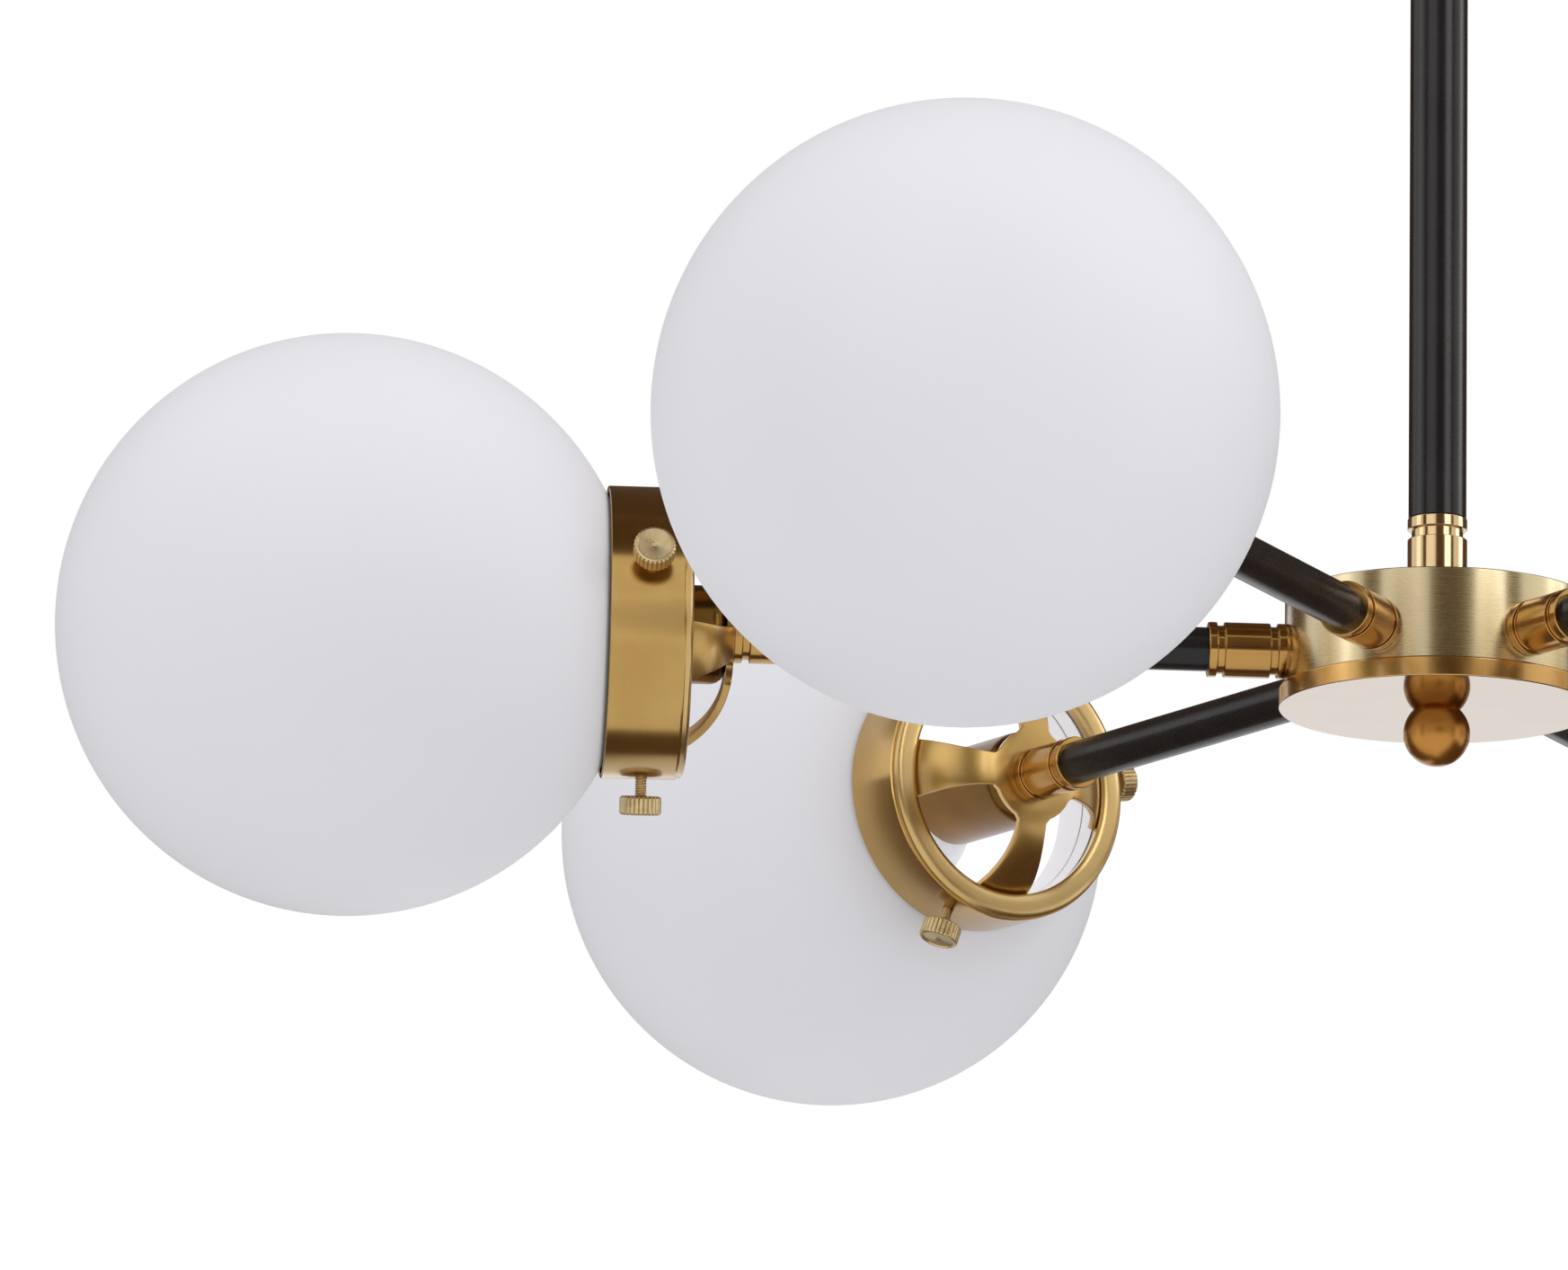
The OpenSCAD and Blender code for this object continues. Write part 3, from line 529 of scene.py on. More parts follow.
def globe_outline():
    """Lip, neck, a small fillet and the ball, then back along the inside of the glass."""
    lip_r = GLASS_LIP_H / 2
    lip_centre = (NECK_R + GLASS_LIP_RISE - lip_r, GLASS_BACK + lip_r)
    fillet_reach = GLOBE_R + GLOBE_FILLET
    fillet_r = NECK_R + GLOBE_FILLET
    fillet_u = GLOBE_U - math.sqrt(fillet_reach ** 2 - fillet_r ** 2)
    meeting = math.degrees(math.atan2(fillet_u - GLOBE_U, fillet_r))
    inner_r = GLOBE_R - GLASS_T
    inner_neck_r = NECK_R - GLASS_T
    inner_start = math.degrees(math.asin(inner_neck_r / inner_r)) - 90

    points = [
        Vector((inner_neck_r, GLASS_BACK + GLASS_CHAMFER)),
        Vector((inner_neck_r + GLASS_CHAMFER, GLASS_BACK)),
    ]
    points += arc(lip_centre, lip_r, -90, 90, 8)
    points += [
        Vector((NECK_R + 0.3 * MM, GLASS_BACK + GLASS_LIP_H)),
        Vector((NECK_R, GLASS_BACK + GLASS_LIP_H + 0.5 * MM)),
    ]
    points += arc((fillet_r, fillet_u), GLOBE_FILLET, 180, 180 + meeting, 6)
    points += arc((0, GLOBE_U), GLOBE_R, meeting, 90, 84)
    points += arc((0, GLOBE_U), inner_r, 90, inner_start, 60)
    # Edges of the thin strips that carry the painted reflection lines
    painted_line_heights = (points[-1].y - PAINTED_LINE_W, PAINTED_LINE_U + PAINTED_LINE_W, PAINTED_LINE_U)
    points += [Vector((inner_neck_r, height)) for height in painted_line_heights]
    return points


def globe_mesh():
    """The globe about its arm's axis, with a painted glow on its inside, grey painted shade on its
    edges and thin painted reflection lines in its neck.
    """
    data = lathe_mesh("globe", globe_outline(), GLOBE_SEGMENTS)
    data.materials.append(OPAL)
    data.materials.append(OPAL_PAINTED_GLOW)
    data.materials.append(GLASS_PAINTED_SHADE_AND_LINES)
    half_wall = GLASS_T / 2
    painted_line_area = 1.2 * PAINTED_LINE_W * 2 * math.pi * NECK_R / GLOBE_SEGMENTS
    lip_edge_r = NECK_R + GLASS_LIP_RISE - 0.6 * MM
    centre = Vector((0, 0, GLOBE_U))
    # Faces inside the wall get the painted glow; the neck's end and the lip's outer edge get grey
    # painted shade, and the small strips inside the neck grey painted reflection lines
    for polygon in data.polygons:
        reach, height = polygon.center.xy.length, polygon.center.z
        in_ball = (polygon.center - centre).length < GLOBE_R - half_wall
        in_neck = reach < NECK_R - half_wall
        if in_ball and (in_neck or height > GLOBE_U - GLOBE_R + NECK_R / 2):
            polygon.material_index = PAINTED_GLOW_SLOT
        elif in_neck and height < GLASS_BACK + GLASS_CHAMFER:
            polygon.material_index = PAINTED_SHADE_AND_LINES_SLOT
        elif in_neck and polygon.area < painted_line_area and height < GLOBE_U - GLOBE_R / 2:
            polygon.material_index = PAINTED_SHADE_AND_LINES_SLOT
        elif in_neck and height < GLOBE_U:
            polygon.material_index = PAINTED_GLOW_SLOT
        elif height < GLASS_BACK + GLASS_LIP_H and reach > lip_edge_r:
            polygon.material_index = PAINTED_SHADE_AND_LINES_SLOT
    return data


round_globe = globe_mesh()
for k in range(1, ARM_COUNT + 1):
    place(
        f"opal_globe_{k}", along_frame(round_globe, arm_frame(k)), Matrix.Identity(4), OPAL,
        "lamp", "opal_glass", f"globe_{k}"
    )


# Holders and spiders

RIM_CROWN_H = 1.1 * MM
RIM_SEGMENTS = 128


def holder_outline():
    """Band, a small step at its back edge, and a wide lip with one smooth crown."""
    rim_r = BAND_R - RIM_STEP
    rim_in_r = BAND_R - RIM_W
    step_u = HOLDER_BACK + RIM_T
    middle = (rim_r + rim_in_r) / 2
    corners = [
        (rim_r, step_u - 0.4 * MM, 0.1 * MM),
        (BAND_R - 0.2 * MM, step_u - 0.4 * MM, 0.3 * MM),
        (BAND_R, step_u + 0.4 * MM, 0.3 * MM),
        (BAND_R, HOLDER_FRONT - 0.3 * MM, 0.2 * MM),
        (BAND_R - 0.4 * MM, HOLDER_FRONT, 0.3 * MM),
        (BAND_R - BAND_T, HOLDER_FRONT, 0.4 * MM),
        (BAND_R - BAND_T, step_u, 0.3 * MM),
        (rim_in_r, step_u, 0.4 * MM),
    ]
    for angle in range(-90, 91, 10):
        across = math.sin(math.radians(angle))
        sink = RIM_CROWN_H * across ** 4
        corners.append((middle + (rim_r - middle) * across, HOLDER_BACK + sink, 0))
    return rounded(corners)


holder_mesh = lathe_mesh("holder", holder_outline(), RIM_SEGMENTS)
holder_mesh.materials.append(SATIN)
holder_mesh.materials.append(RIM_SATIN)
LIP_SLOT = 1
for polygon in holder_mesh.polygons:
    if polygon.center.z < HOLDER_BACK + RIM_T - 0.5 * MM:
        polygon.material_index = LIP_SLOT
on_arms("holder_ring", holder_mesh, SATIN, "satin_brass", "holder_{}", HOLDER_TURN)


def dome_point(angle):
    """Radius and height behind the holder of the dome's arch, at an angle from its crown."""
    crown = HOLDER_BACK - SPIDER_BACK - DOME_ARC_R
    return (DOME_FLAT_R + DOME_ARC_R * math.sin(angle), crown + DOME_ARC_R * math.cos(angle))


def spoke_half_angle(radius):
    """Half the angle that a spoke takes up at a radius from the spider's axis."""
    neck_y = math.sqrt(DISC_R ** 2 - SPOKE_HALF_W ** 2)
    corner_x = SPOKE_HALF_W + DISC_CORNER_R
    corner_reach = DISC_R + DISC_CORNER_R
    corner_y = math.sqrt(corner_reach ** 2 - corner_x ** 2)
    if radius < math.hypot(SPOKE_HALF_W, corner_y):
        squares = radius ** 2 + corner_reach ** 2 - DISC_CORNER_R ** 2
        cosine = squares / (2 * radius * corner_reach)
        return math.atan2(corner_x, corner_y) - math.acos(min(1, cosine))
    angle = 0
    for _ in range(6):
        past_neck = radius * math.cos(angle) - neck_y
        half = SPOKE_HALF_W + SPOKE_FLARE_R - math.sqrt(SPOKE_FLARE_R ** 2 - past_neck ** 2)
        angle = math.asin(half / radius)
    return angle


def spider_mesh():
    """Disc, four flared spokes and a flange: one sheet, which then gets its thickness."""
    columns = 10
    between = 8
    arch_steps = 26
    window_r = BAND_R - RIM_W + 1 * MM
    arch_end = math.acos((DOME_ARC_R - (HOLDER_BACK - SPIDER_BACK) - RIM_T) / DOME_ARC_R)
    disc_angle = math.asin((DISC_R - DOME_FLAT_R) / DOME_ARC_R)
    mesh = bmesh.new()

    def vertex(radius, behind, angle):
        x, y = radius * math.sin(angle), radius * math.cos(angle)
        return mesh.verts.new((x, y, HOLDER_BACK - behind))

    def strip(rows):
        """Faces between rows of (radius, height behind, list of angles)."""
        made = []
        for radius, behind, angles in rows:
            made.append([vertex(radius, behind, angle) for angle in angles])
        for low, high in zip(made, made[1:]):
            for i in range(len(low) - 1):
                mesh.faces.new((low[i], low[i + 1], high[i + 1], high[i]))

    def spread(half, centre, count):
        return [centre + half * (2 * i / count - 1) for i in range(count + 1)]

    dome_h = HOLDER_BACK - SPIDER_BACK
    disc_rows = [(0.2 * MM, dome_h), (DOME_FLAT_R / 2, dome_h), (DOME_FLAT_R, dome_h)]
    disc_rows += [dome_point(disc_angle * share) for share in (0.33, 0.67, 1.0)]
    arch = arch_end - disc_angle
    spoke_rows = [dome_point(disc_angle + arch * i / arch_steps) for i in range(arch_steps + 1)]
    edge_r = spoke_rows[-1][0]
    flange_radii = (window_r, (window_r + SPIDER_FLANGE_R) / 2, SPIDER_FLANGE_R)
    flange_rows = [(radius, -RIM_T) for radius in flange_radii]
    for quarter in range(4):
        middle = quarter * math.pi / 2
        gap_middle = middle + math.pi / 4
        root = spoke_half_angle(DISC_R)
        tip = spoke_half_angle(window_r)
        strip([(r, h, spread(root, middle, columns)) for r, h in disc_rows])
        strip([(r, h, spread(math.pi / 4 - root, gap_middle, between)) for r, h in disc_rows])
        rows = spoke_rows + [((edge_r + window_r) / 2, -RIM_T), (window_r, -RIM_T)]
        strip([(r, h, spread(spoke_half_angle(r), middle, columns)) for r, h in rows])
        strip([(r, h, spread(tip, middle, columns)) for r, h in flange_rows])
        strip([(r, h, spread(math.pi / 4 - tip, gap_middle, 2 * between)) for r, h in flange_rows])
    bmesh.ops.remove_doubles(mesh, verts=mesh.verts, dist=0.01 * MM)
    centre_hole = [e for e in mesh.edges if e.is_boundary and e.calc_length() < 0.2 * MM]
    bmesh.ops.holes_fill(mesh, edges=centre_hole)
    data = finished_mesh(mesh, "spider")
    if data.polygons[0].normal.z > 0:
        data.flip_normals()
    return with_modifiers(
        data,
        ("SOLIDIFY", {"thickness": SPIDER_T, "offset": -1.0, "use_even_offset": True}),
        ("BEVEL", {"width": 0.35 * MM, "segments": 3, "limit_method": "ANGLE",
                   "angle_limit": math.radians(50)}),
    )


on_arms(
    "spider", spider_mesh(), SPIDER_SATIN, "satin_brass", "spiders", SPIDER_TURN, SPIDER_TURN_USUAL
)


def cup_outline():
    """A deep-drawn cup round the lampholder, with a wide corner and a plain mouth."""
    back = SPIDER_BACK + SPIDER_T
    corner = CUP_R - DOME_FLAT_R
    in_r = CUP_R - CUP_T
    return rounded([
        (NIPPLE_R, back, 0),
        (CUP_R, back, corner),
        (CUP_R, CUP_END, 0.4 * MM),
        (in_r, CUP_END, 0.4 * MM),
        (in_r, back + CUP_T, corner - CUP_T),
        (NIPPLE_R, back + CUP_T, 0),
    ], steps=6)


cup_mesh = lathe_mesh("socket_cup", cup_outline())
on_arms("socket_cup", cup_mesh, CUP_PAINTED_SHADE, "satin_brass", "socket_cups")


# Arms

def grooved_outline(radius, length, band, groove_w, groove_h, bore):
    """A turned sleeve whose two end bands each stand beside a groove."""
    bottom = radius - groove_h
    edge = 0.45 * MM
    soft = 0.3 * MM
    marks = [
        (0, radius, edge), (band, radius, soft), (band, bottom, soft),
        (band + groove_w, bottom, soft), (band + groove_w, radius, soft),
    ]
    outer = [(r, h, rounding) for h, r, rounding in marks]
    outer += [(r, length - h, rounding) for h, r, rounding in reversed(marks)]
    return rounded(outer + [(bore, length, 0), (bore, 0, 0)])


def collar_mesh(name, flip):
    """A collar at the hub, its foot cut to the drum's round wall, or flipped, at the holder."""
    length = TUBE_START - DRUM_R
    outline = grooved_outline(
        COLLAR_R, length, COLLAR_BAND, COLLAR_GROOVE_W, COLLAR_GROOVE_H, NIPPLE_R
    )
    data = lathe_mesh(name, outline, 80)
    for vertex in data.vertices:
        if flip:
            vertex.co.z = SPIDER_BACK - vertex.co.z
            continue
        vertex.co.z += DRUM_R
        if vertex.co.z < DRUM_R + 0.1 * MM:
            vertex.co.z = math.sqrt(DRUM_R ** 2 - vertex.co.y ** 2)
    if flip:
        data.flip_normals()
    return data


DRUM_R = half_width("hub_drum")
DRUM_TOP = size_of(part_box("hub_drum")[1].z)
DRUM_BOTTOM = size_of(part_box("hub_drum")[0].z)
COVER_R = half_width("hub_cover")
COVER_BOTTOM = size_of(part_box("hub_cover")[0].z)
COVER_TOP = size_of(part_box("hub_cover")[1].z)

for name, flip in (("hub_collar", False), ("holder_collar", True)):
    on_arms(name, collar_mesh(name, flip), COLLAR_SATIN, "satin_brass", f"{name}s")

TUBE_END = SPIDER_BACK - (TUBE_START - DRUM_R)


def tube_outline(radius, wall, start, end):
    """A tube's wall, with its outer edges eased."""
    chamfer = 0.4 * MM
    return rounded([
        (radius, start, chamfer), (radius, end, chamfer),
        (radius - wall, end, 0), (radius - wall, start, 0),
    ])


arm_tube_mesh = lathe_mesh(
    "arm_tube", tube_outline(TUBE_R, TUBE_T, TUBE_START - TUBE_SOCKET, TUBE_END + TUBE_SOCKET), 64
)
on_arms("arm_tube", arm_tube_mesh, BLACK, "black_paint", "arm_tubes")


# Thumbscrews

THREAD_R = 2.1 * MM
THREAD_PITCH = 0.8 * MM
THREAD_H = 0.42 * MM
THREAD_FLAT = 1.35
THREAD_SIDES = 24
SCREW_TIP = NECK_R + 0.3 * MM
HEAD_BASE = BAND_R + 5.8 * MM
HEAD_R = 7.2 * MM
HEAD_H = 6.4 * MM
KNURLS = 28
KNURL_H = 0.55 * MM
# Places along one knurl, as shares of its pitch, and how deep each lies, as a share of its depth
KNURL_SHAPE = (
    (0.0, 0.0), (0.17, 0.0), (0.31, 0.12), (0.42, 0.8),
    (0.5, 1.0), (0.58, 0.8), (0.69, 0.12), (0.83, 0.0),
)


def thumbscrew_mesh():
    """A threaded shank and a straight-knurled head with a dished end."""
    mesh = bmesh.new()

    def ring(turns, radii, height):
        """Points at shares of a full turn and at radii from the axis."""
        made = []
        for turn, radius in zip(turns, radii):
            angle = 2 * math.pi * turn
            x, y = radius * math.cos(angle), radius * math.sin(angle)
            made.append(mesh.verts.new((x, y, height)))
        return made

    def skin(rings):
        for low, high in zip(rings, rings[1:]):
            for i in range(len(low)):
                j = (i + 1) % len(low)
                mesh.faces.new((low[i], low[j], high[j], high[i]))
        mesh.faces.new(list(reversed(rings[0])))
        mesh.faces.new(rings[-1])

    def thread_ring(height):
        """One level of the helix: its radius depends on the turn and the height."""
        run_in = min(1, max(0, (height - SCREW_TIP) / (0.9 * MM)))
        turns = [i / THREAD_SIDES for i in range(THREAD_SIDES)]
        teeth = [abs(2 * ((height / THREAD_PITCH - turn) % 1) - 1) for turn in turns]
        radii = [
            THREAD_R - THREAD_H * min(1, THREAD_FLAT * tooth) - (1 - run_in) * 0.5 * MM
            for tooth in teeth
        ]
        return ring(turns, radii, height)

    shank_end = HEAD_BASE + 0.2 * MM
    steps = round((HEAD_BASE - SCREW_TIP) / THREAD_PITCH * 8)
    skin([thread_ring(SCREW_TIP + (shank_end - SCREW_TIP) * i / steps) for i in range(steps + 1)])

    def head_ring(radius, height, knurl=0.0):
        """One level of the head, its knurls cut in by the given depth."""
        turns = [(i + share) / KNURLS for i in range(KNURLS) for share, _ in KNURL_SHAPE]
        radii = [radius - knurl * depth for _ in range(KNURLS) for _, depth in KNURL_SHAPE]
        return ring(turns, radii, height)

    top = HEAD_BASE + HEAD_H
    chamfer = 0.55 * MM
    soft = 0.08 * MM
    ease = 0.15 * MM
    dish_r = HEAD_R - 1.4 * MM
    dish_floor = top - 0.5 * MM
    skin([
        head_ring(2.6 * MM, HEAD_BASE),
        head_ring(HEAD_R - chamfer - 2 * ease, HEAD_BASE),
        head_ring(HEAD_R - chamfer, HEAD_BASE + soft),
        head_ring(HEAD_R - soft, HEAD_BASE + chamfer, KNURL_H),
        head_ring(HEAD_R, HEAD_BASE + chamfer + ease, KNURL_H),
        head_ring(HEAD_R, top - chamfer - ease, KNURL_H),
        head_ring(HEAD_R - soft, top - chamfer, KNURL_H),
        head_ring(HEAD_R - chamfer, top - soft),
        head_ring(HEAD_R - chamfer - ease, top),
        head_ring(dish_r + ease, top),
        head_ring(dish_r, top - 0.12 * MM),
        head_ring(dish_r - 0.2 * MM, dish_floor),
        head_ring(dish_r - 0.5 * MM, dish_floor - 0.05 * MM),
        head_ring(1.1 * MM, dish_floor),
        head_ring(0.8 * MM, dish_floor - 0.12 * MM),
        head_ring(0.2 * MM, dish_floor - 0.5 * MM),
    ])
    return finished_mesh(mesh, "thumbscrew")


def thumbscrew_frame(k, s):
    """A screw's own +Z points outwards from the holder's axis."""
    turn = HOLDER_TURN.get(k, 0) + 360 / len(SCREW_LETTERS) * s
    to_ring = Matrix.Translation((0, 0, HOLDER_BACK + SCREW_BACK))
    return arm_frame(k, turn) @ to_ring @ Matrix.Rotation(math.pi / 2, 4, "Y")


screw_mesh = thumbscrew_mesh()
for k in range(1, ARM_COUNT + 1):
    for s, letter in enumerate(SCREW_LETTERS):
        name = f"thumbscrew_{k}{letter}"
        place(
            f"knurled_{name}", screw_mesh, thumbscrew_frame(k, s), SCREW_BRASS,
            name, "screw_brass", name
        )


# Hub

DRUM_T = 2 * MM
DRUM_TOP_T = 3 * MM
COVER_T = 2 * MM
HUB_SEGMENTS = 192
UPRIGHT = Matrix.Identity(4)

drum_outline = rounded([
    (NIPPLE_R, DRUM_TOP, 0), (DRUM_R, DRUM_TOP, 0.5 * MM), (DRUM_R, DRUM_BOTTOM, 0.2 * MM),
    (DRUM_R - DRUM_T, DRUM_BOTTOM, 0.2 * MM), (DRUM_R - DRUM_T, DRUM_TOP - DRUM_TOP_T, 0.5 * MM),
    (NIPPLE_R, DRUM_TOP - DRUM_TOP_T, 0),
])
place(
    "drum", lathe_mesh("drum", drum_outline, HUB_SEGMENTS), UPRIGHT, HUB_SATIN,
    "lamp", "satin_brass", "hub_drum"
)

cover_outline = rounded([
    (NIPPLE_R, COVER_BOTTOM, 0), (COVER_R, COVER_BOTTOM, 0.45 * MM), (COVER_R, COVER_TOP, 0.8 * MM),
    (DRUM_R - DRUM_T, COVER_TOP, 0.2 * MM), (DRUM_R - DRUM_T, COVER_BOTTOM + COVER_T, 0.3 * MM),
    (NIPPLE_R, COVER_BOTTOM + COVER_T, 0),
], steps=4)
cover_mesh = lathe_mesh("polished_cover", cover_outline, HUB_SEGMENTS)
cover_mesh.materials.append(POLISHED)
cover_mesh.materials.append(LIP_BRASS)
for polygon in cover_mesh.polygons:
    if abs(polygon.normal.z) < 0.8:
        polygon.material_index = LIP_SLOT
place("polished_cover", cover_mesh, UPRIGHT, POLISHED, "hub_cap", "bright_brass", "hub_cover")

BALL_R = half_width("ball_finial")
BALL_Z = size_of(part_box("ball_finial")[0].z + BALL_R)
BALL_BORE_H = 7.5 * MM


def ball_outline():
    """The ball, cut flat where it meets the cover, and its threaded bore."""
    cut = math.degrees(math.asin((COVER_BOTTOM - BALL_Z) / BALL_R))
    points = arc((0, BALL_Z), BALL_R, -90, cut, 40)
    return points + [
        Vector((NIPPLE_R, COVER_BOTTOM)), Vector((NIPPLE_R, COVER_BOTTOM - BALL_BORE_H)),
        Vector((0, COVER_BOTTOM - BALL_BORE_H)),
    ]


place(
    "ball", lathe_mesh("ball", ball_outline()), UPRIGHT, BALL_BRASS, "hub_cap",
    "bright_brass", "ball_finial"
)


# Rods and their couplings

ROD_R = half_width("lower_rod")
ROD_T = 1.2 * MM
COUPLING_R = half_width("hub_coupling")
COUPLING_BAND = 4 * MM
COUPLING_GROOVE_W = 3.4 * MM
COUPLING_GROOVE_H = 1.4 * MM
SPIGOT_L = 12 * MM
SPIGOT_R = ROD_R - ROD_T - 0.05 * MM
LEAD_HOLE_R = 3.5 * MM


def coupling_mesh(name, low, high, spigots):
    """A grooved sleeve with a spigot into the rod at each end that holds one."""
    length = high - low
    sleeve = grooved_outline(
        COUPLING_R, length, COUPLING_BAND, COUPLING_GROOVE_W, COUPLING_GROOVE_H, LEAD_HOLE_R
    )
    body = [Vector((r, low + h)) for r, h in sleeve[:-2]]
    top = [Vector((LEAD_HOLE_R, high)), Vector((LEAD_HOLE_R, low))]
    if "up" in spigots:
        top[0:1] = [
            Vector((SPIGOT_R, high)), Vector((SPIGOT_R, high + SPIGOT_L)),
            Vector((LEAD_HOLE_R, high + SPIGOT_L)),
        ]
    if "down" in spigots:
        top[-1:] = [
            Vector((LEAD_HOLE_R, low - SPIGOT_L)), Vector((SPIGOT_R, low - SPIGOT_L)),
            Vector((SPIGOT_R, low)),
        ]
    return lathe_mesh(name, body + top)


# The photograph's coupling is a little shorter than the CAD's, and the rod comes down to it
HUB_COUPLING_TRIM = 2.8 * MM
LOWER_ROD_END = size_of(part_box("lower_rod")[0].z) - HUB_COUPLING_TRIM
LOWER_ROD_TOP = size_of(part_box("lower_rod")[1].z)
UPPER_ROD_END = size_of(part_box("upper_rod")[0].z)
UPPER_ROD_TOP = size_of(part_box("upper_rod")[1].z)

place(
    "grooved_hub_coupling", coupling_mesh("grooved_hub_coupling", DRUM_TOP, LOWER_ROD_END, ("up",)),
    UPRIGHT, COUPLING_BRASS, "lamp", "satin_brass", "hub_coupling"
)
place(
    "grooved_rod_coupling",
    coupling_mesh("grooved_rod_coupling", LOWER_ROD_TOP, UPPER_ROD_END, ("up", "down")),
    UPRIGHT, COUPLING_BRASS, "lamp", "satin_brass", "rod_coupling"
)
for name, low, high in (
    ("lower_rod", LOWER_ROD_END, LOWER_ROD_TOP), ("upper_rod", UPPER_ROD_END, UPPER_ROD_TOP)
):
    rod_mesh = lathe_mesh(f"black_{name}", tube_outline(ROD_R, ROD_T, low, high))
    place(f"black_{name}", rod_mesh, UPRIGHT, BLACK, "lamp", "black_paint", name)


# Canopy and cap nuts

CANOPY_R = half_width("canopy")
CANOPY_H = size_of(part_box("canopy")[1].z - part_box("canopy")[0].z)
CANOPY_T = 1.5 * MM
CANOPY_CORNER_R = 5 * MM

canopy_outline = rounded([
    (NIPPLE_R, -CANOPY_H, 0), (CANOPY_R, -CANOPY_H, CANOPY_CORNER_R), (CANOPY_R, 0, 0.3 * MM),
    (CANOPY_R - CANOPY_T, 0, 0.3 * MM),
    (CANOPY_R - CANOPY_T, -CANOPY_H + CANOPY_T, CANOPY_CORNER_R - CANOPY_T),
    (NIPPLE_R, -CANOPY_H + CANOPY_T, 0),
], steps=10)
place(
    "brass_canopy", lathe_mesh("brass_canopy", canopy_outline, 160), UPRIGHT, SATIN,
    "ceiling_mount", "satin_brass", "canopy"
)


# Carried-over CAD nodes and their finishes

CAD_FINISHES = (
    (SATIN, "swivel_tongue", "swivel_fork", "cap_nuts"),
    (SCREW_BRASS, "screw_shells", "pivot_screws"),
    (ZINC, "arm_nipples", "arm_nuts", "centre_nipple", "hub_nut", "canopy_locknut"),
    (ZINC, "crossbar", "canopy_studs"),
    (IVORY, "lampholders"),
    (BULB_WHITE, "bulbs"),
    (LEAD, "arm_leads", "main_lead", "canopy_lead"),
)
for material, *nodes in CAD_FINISHES:
    for node in nodes:
        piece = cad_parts[node]
        piece.data.materials.clear()
        piece.data.materials.append(material)


# Stage: a pale floor, soft light and a white background

FLOOR_Z = -1.95
FLOOR_R = 9.0
FADE_START = 2.2
FADE_END = 5.0
SOFT_LIGHT = 0.785


def background_rays(tree):
    """1 for the rays that see the background: camera, glossy and transmission rays."""
    path = tree.nodes.new("ShaderNodeLightPath").outputs
    either = tree.nodes.new("ShaderNodeMath")
    either.operation = "MAXIMUM"
    tree.links.new(path["Is Camera Ray"], either.inputs[0])
    tree.links.new(path["Is Glossy Ray"], either.inputs[1])
    both = tree.nodes.new("ShaderNodeMath")
    both.operation = "MAXIMUM"
    tree.links.new(either.outputs[0], both.inputs[0])
    tree.links.new(path["Is Transmission Ray"], both.inputs[1])
    return both.outputs[0]


def floor_material():
    """Pale and plain, fading to the white of the background far away.

    It has no underside, so that a light that hangs over it can be looked at from below.
    """
    shader = Shader("floor", Roughness=0.9, Specular_IOR_Level=0.1)
    coordinates = shader.coordinates()
    distance = shader.node("ShaderNodeVectorMath", {"operation": "LENGTH"}, Vector=coordinates)
    fade = shader.node(
        "ShaderNodeMapRange", {"interpolation_type": "SMOOTHSTEP"},
        Value=distance.outputs["Value"], From_Min=FADE_START, From_Max=FADE_END
    )
    cloud = shader.noise(coordinates, 2.0)
    colour = shader.ramp(cloud, (0.3, (0.88, 0.88, 0.88)), (0.7, (0.90, 0.90, 0.90)))
    shader.finish(Base_Color=colour)
    white = shader.node("ShaderNodeEmission", Color=(1, 1, 1, 1), Strength=1.0)
    share = shader.math("MULTIPLY", fade.outputs[0], background_rays(shader.tree))
    mixed = shader.node("ShaderNodeMixShader", Fac=share)
    shader.tree.links.new(shader.principled.outputs[0], mixed.inputs[1])
    shader.tree.links.new(white.outputs[0], mixed.inputs[2])
    underside = shader.node("ShaderNodeNewGeometry").outputs["Backfacing"]
    one_sided = shader.node("ShaderNodeMixShader", Fac=underside)
    clear = shader.node("ShaderNodeBsdfTransparent")
    shader.tree.links.new(mixed.outputs[0], one_sided.inputs[1])
    shader.tree.links.new(clear.outputs[0], one_sided.inputs[2])
    output = shader.tree.nodes["Material Output"]
    shader.tree.links.new(one_sided.outputs[0], output.inputs["Surface"])
    return shader.material


def make_floor():
    """A round floor under the light, which is stage and not part of it."""
    mesh = bmesh.new()
    bmesh.ops.create_circle(mesh, cap_ends=True, segments=96, radius=FLOOR_R)
    data = bpy.data.meshes.new("floor")
    mesh.to_mesh(data)
    mesh.free()
    data.materials.append(floor_material())
    floor = bpy.data.objects.new("floor", data)
    floor.location = (0, 0, FLOOR_Z)
    bpy.context.scene.collection.objects.link(floor)
    floor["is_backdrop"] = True


def make_world():
    """Soft light from all round, in front of a white background."""
    world = bpy.data.worlds.new("studio")
    bpy.context.scene.world = world
    world.use_nodes = True
    tree = world.node_tree
    soft = tree.nodes["Background"]
    soft.inputs["Color"].default_value = (0.97, 0.98, 1.0, 1)
    soft.inputs["Strength"].default_value = SOFT_LIGHT
    white = tree.nodes.new("ShaderNodeBackground")
    white.inputs["Color"].default_value = (1, 1, 1, 1)
    white.inputs["Strength"].default_value = 1.0
    mixed = tree.nodes.new("ShaderNodeMixShader")
    tree.links.new(background_rays(tree), mixed.inputs[0])
    tree.links.new(soft.outputs[0], mixed.inputs[1])
    tree.links.new(white.outputs[0], mixed.inputs[2])
    tree.links.new(mixed.outputs[0], tree.nodes["World Output"].inputs["Surface"])


def direction(azimuth, elevation):
    """A unit vector: azimuth 0 is towards -Y, where one looks along +Y."""
    a, e = math.radians(azimuth), math.radians(elevation)
    return Vector((math.sin(a) * math.cos(e), -math.cos(a) * math.cos(e), math.sin(e)))


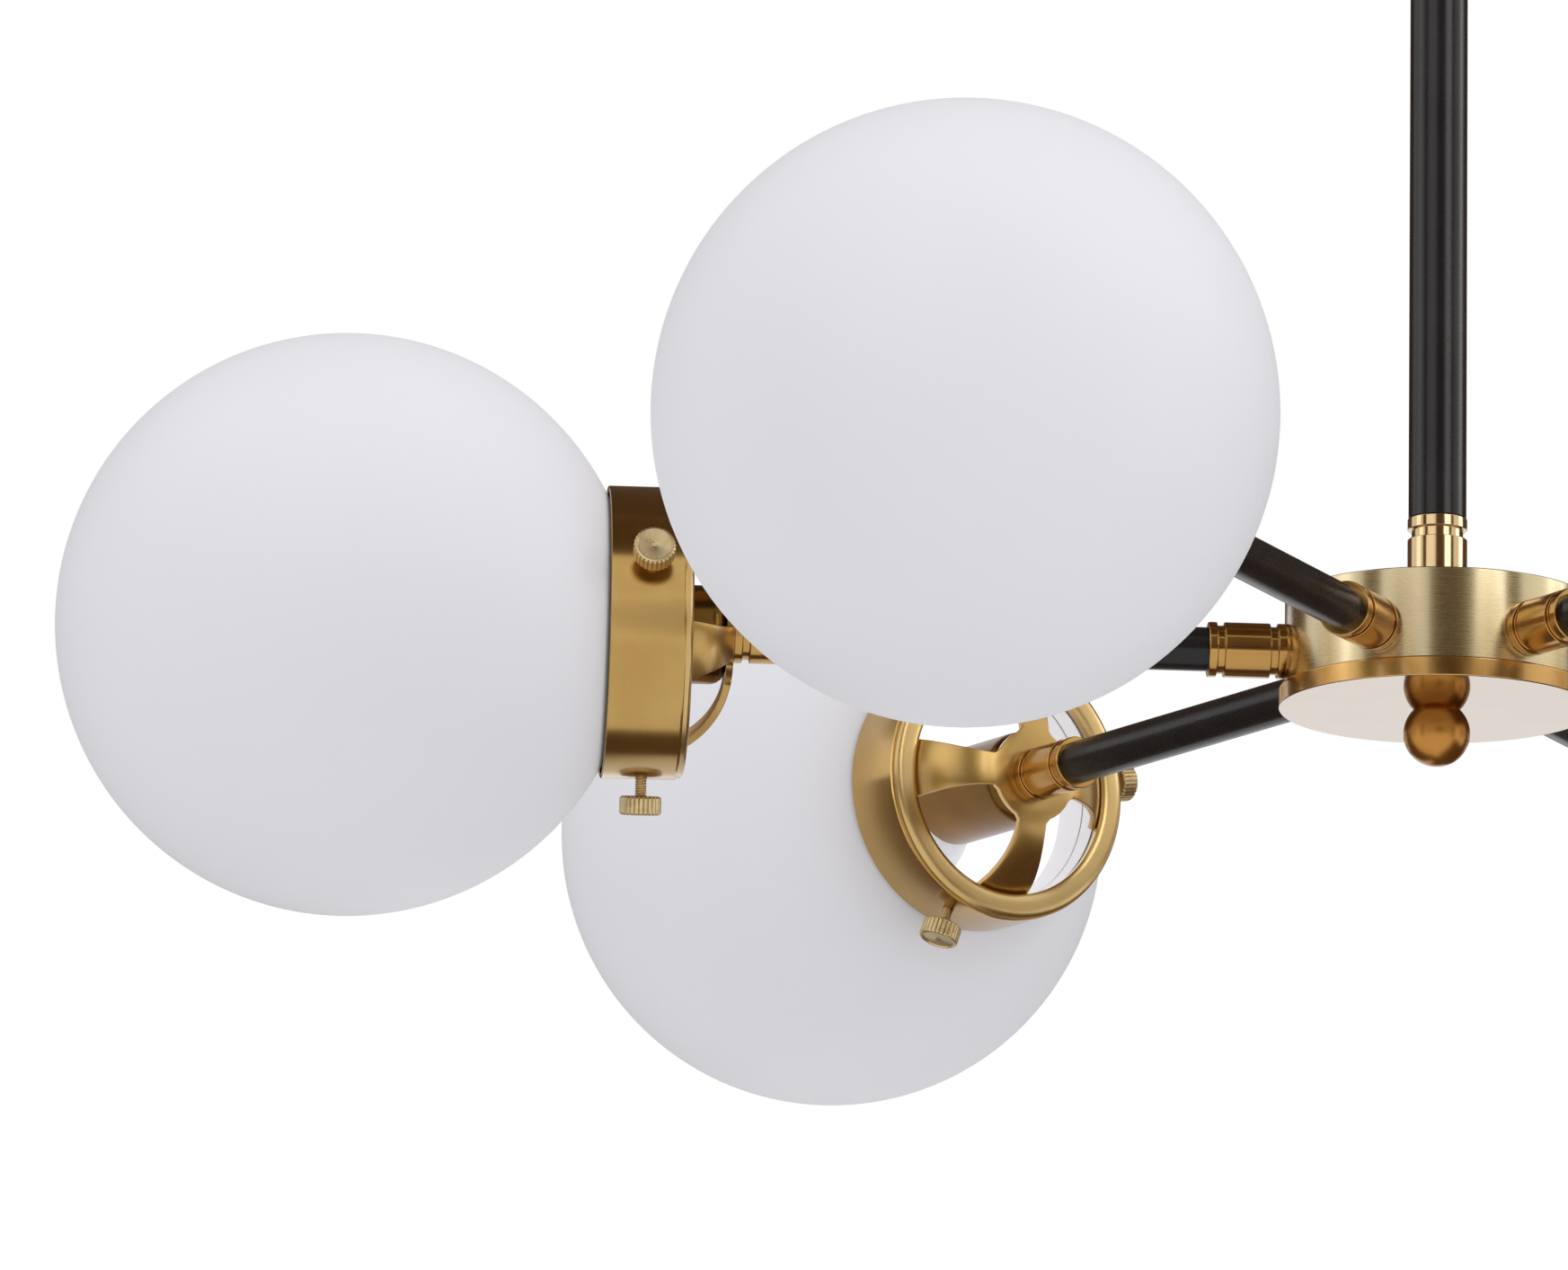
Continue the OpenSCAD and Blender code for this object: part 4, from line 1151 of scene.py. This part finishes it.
HUB = Vector((0, 0, ARM_Z))
LAMP_DISTANCE = 3.4
FLAG_R = 4.4
LOW_FLAG_R = 1.25
NEAR_FLAG_R = 0.9
FLAG_STEP = 6
FLAG_BROWN = moulded("flag_card", (0.105, 0.062, 0.035), (0.115, 0.068, 0.040), 0.9)


def softbox(
    name, azimuth, elevation, width, height, radiance, distance=LAMP_DISTANCE, in_gloss=True
):
    """An area lamp that faces the hub. Its power follows from its size and radiance."""
    data = bpy.data.lights.new(name, "AREA")
    data.shape = "RECTANGLE"
    data.size = width
    data.size_y = height
    data.energy = radiance * width * height * math.pi
    lamp = bpy.data.objects.new(name, data)
    bpy.context.scene.collection.objects.link(lamp)
    facing = direction(azimuth, elevation)
    lamp.location = HUB + facing * distance
    lamp.rotation_euler = facing.to_track_quat("Z", "Y").to_euler()
    lamp.visible_camera = False
    lamp.visible_glossy = in_gloss


def flag(name, azimuths, elevations, radius=FLAG_R):
    """A dark card, bent round the hub, that only the gloss of metal and paint sees."""
    mesh = bmesh.new()
    columns = max(2, round((azimuths[1] - azimuths[0]) / FLAG_STEP))
    rows = max(2, round((elevations[1] - elevations[0]) / FLAG_STEP))
    grid = []
    for i in range(columns + 1):
        azimuth = azimuths[0] + (azimuths[1] - azimuths[0]) * i / columns
        column = []
        for j in range(rows + 1):
            elevation = elevations[0] + (elevations[1] - elevations[0]) * j / rows
            column.append(mesh.verts.new(HUB + direction(azimuth, elevation) * radius))
        grid.append(column)
    for near, far in zip(grid, grid[1:]):
        for j in range(rows):
            mesh.faces.new((near[j], far[j], far[j + 1], near[j + 1]))
    data = bpy.data.meshes.new(name)
    mesh.to_mesh(data)
    mesh.free()
    data.materials.append(FLAG_BROWN)
    card = bpy.data.objects.new(name, data)
    bpy.context.scene.collection.objects.link(card)
    card.visible_camera = False
    card.visible_diffuse = False
    card.visible_shadow = False
    card.visible_transmission = False
    card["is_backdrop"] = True


make_floor()
make_world()

# Lamps: azimuths and elevations are in degrees, as seen from the hub
softbox("key_left", azimuth=-34, elevation=22, width=1.7, height=1.6, radiance=0.35)
softbox("key_right", azimuth=35, elevation=24, width=1.3, height=1.6, radiance=2.1)
softbox("side_left", azimuth=-84, elevation=9, width=1.1, height=2.0, radiance=0.9)
softbox("side_right", azimuth=96, elevation=9, width=1.1, height=2.0, radiance=2.3)
softbox(
    "overhead", azimuth=20, elevation=78, width=2.4, height=2.4, radiance=0.8,
    distance=2.6, in_gloss=False
)

# Dark cards, which give the brass and the paint their dark bands
flag("flag_front", azimuths=(-12, 21), elevations=(-10, 46), radius=NEAR_FLAG_R)
flag("flag_above_camera", azimuths=(-40, 40), elevations=(50, 60))
flag("flag_right", azimuths=(46, 59), elevations=(-16, 60))
flag("flag_left", azimuths=(-64, -50), elevations=(-16, 60))
flag("flag_back", azimuths=(110, 236), elevations=(-1, 60))
flag("flag_back_right", azimuths=(110, 165), elevations=(-80, -1), radius=LOW_FLAG_R)
flag("flag_back_left", azimuths=(197, 236), elevations=(-80, -1), radius=LOW_FLAG_R)
flag("flag_back_left_low", azimuths=(183, 197), elevations=(-80, -56), radius=LOW_FLAG_R)
flag("flag_left_low", azimuths=(236, 254), elevations=(-80, 6), radius=LOW_FLAG_R)
flag("flag_right_low", azimuths=(60, 112), elevations=(-80, -22), radius=LOW_FLAG_R)
flag("flag_back_low", azimuths=(165, 183), elevations=(-80, -26), radius=LOW_FLAG_R)
flag("flag_overhead", azimuths=(0, 360), elevations=(58, 89.5))

bpy.context.scene.view_settings.view_transform = "Standard"

boxes = {"cad": cad_bounds, "visual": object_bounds()}
boxes = {name: [list(corner) for corner in box] for name, box in boxes.items()}
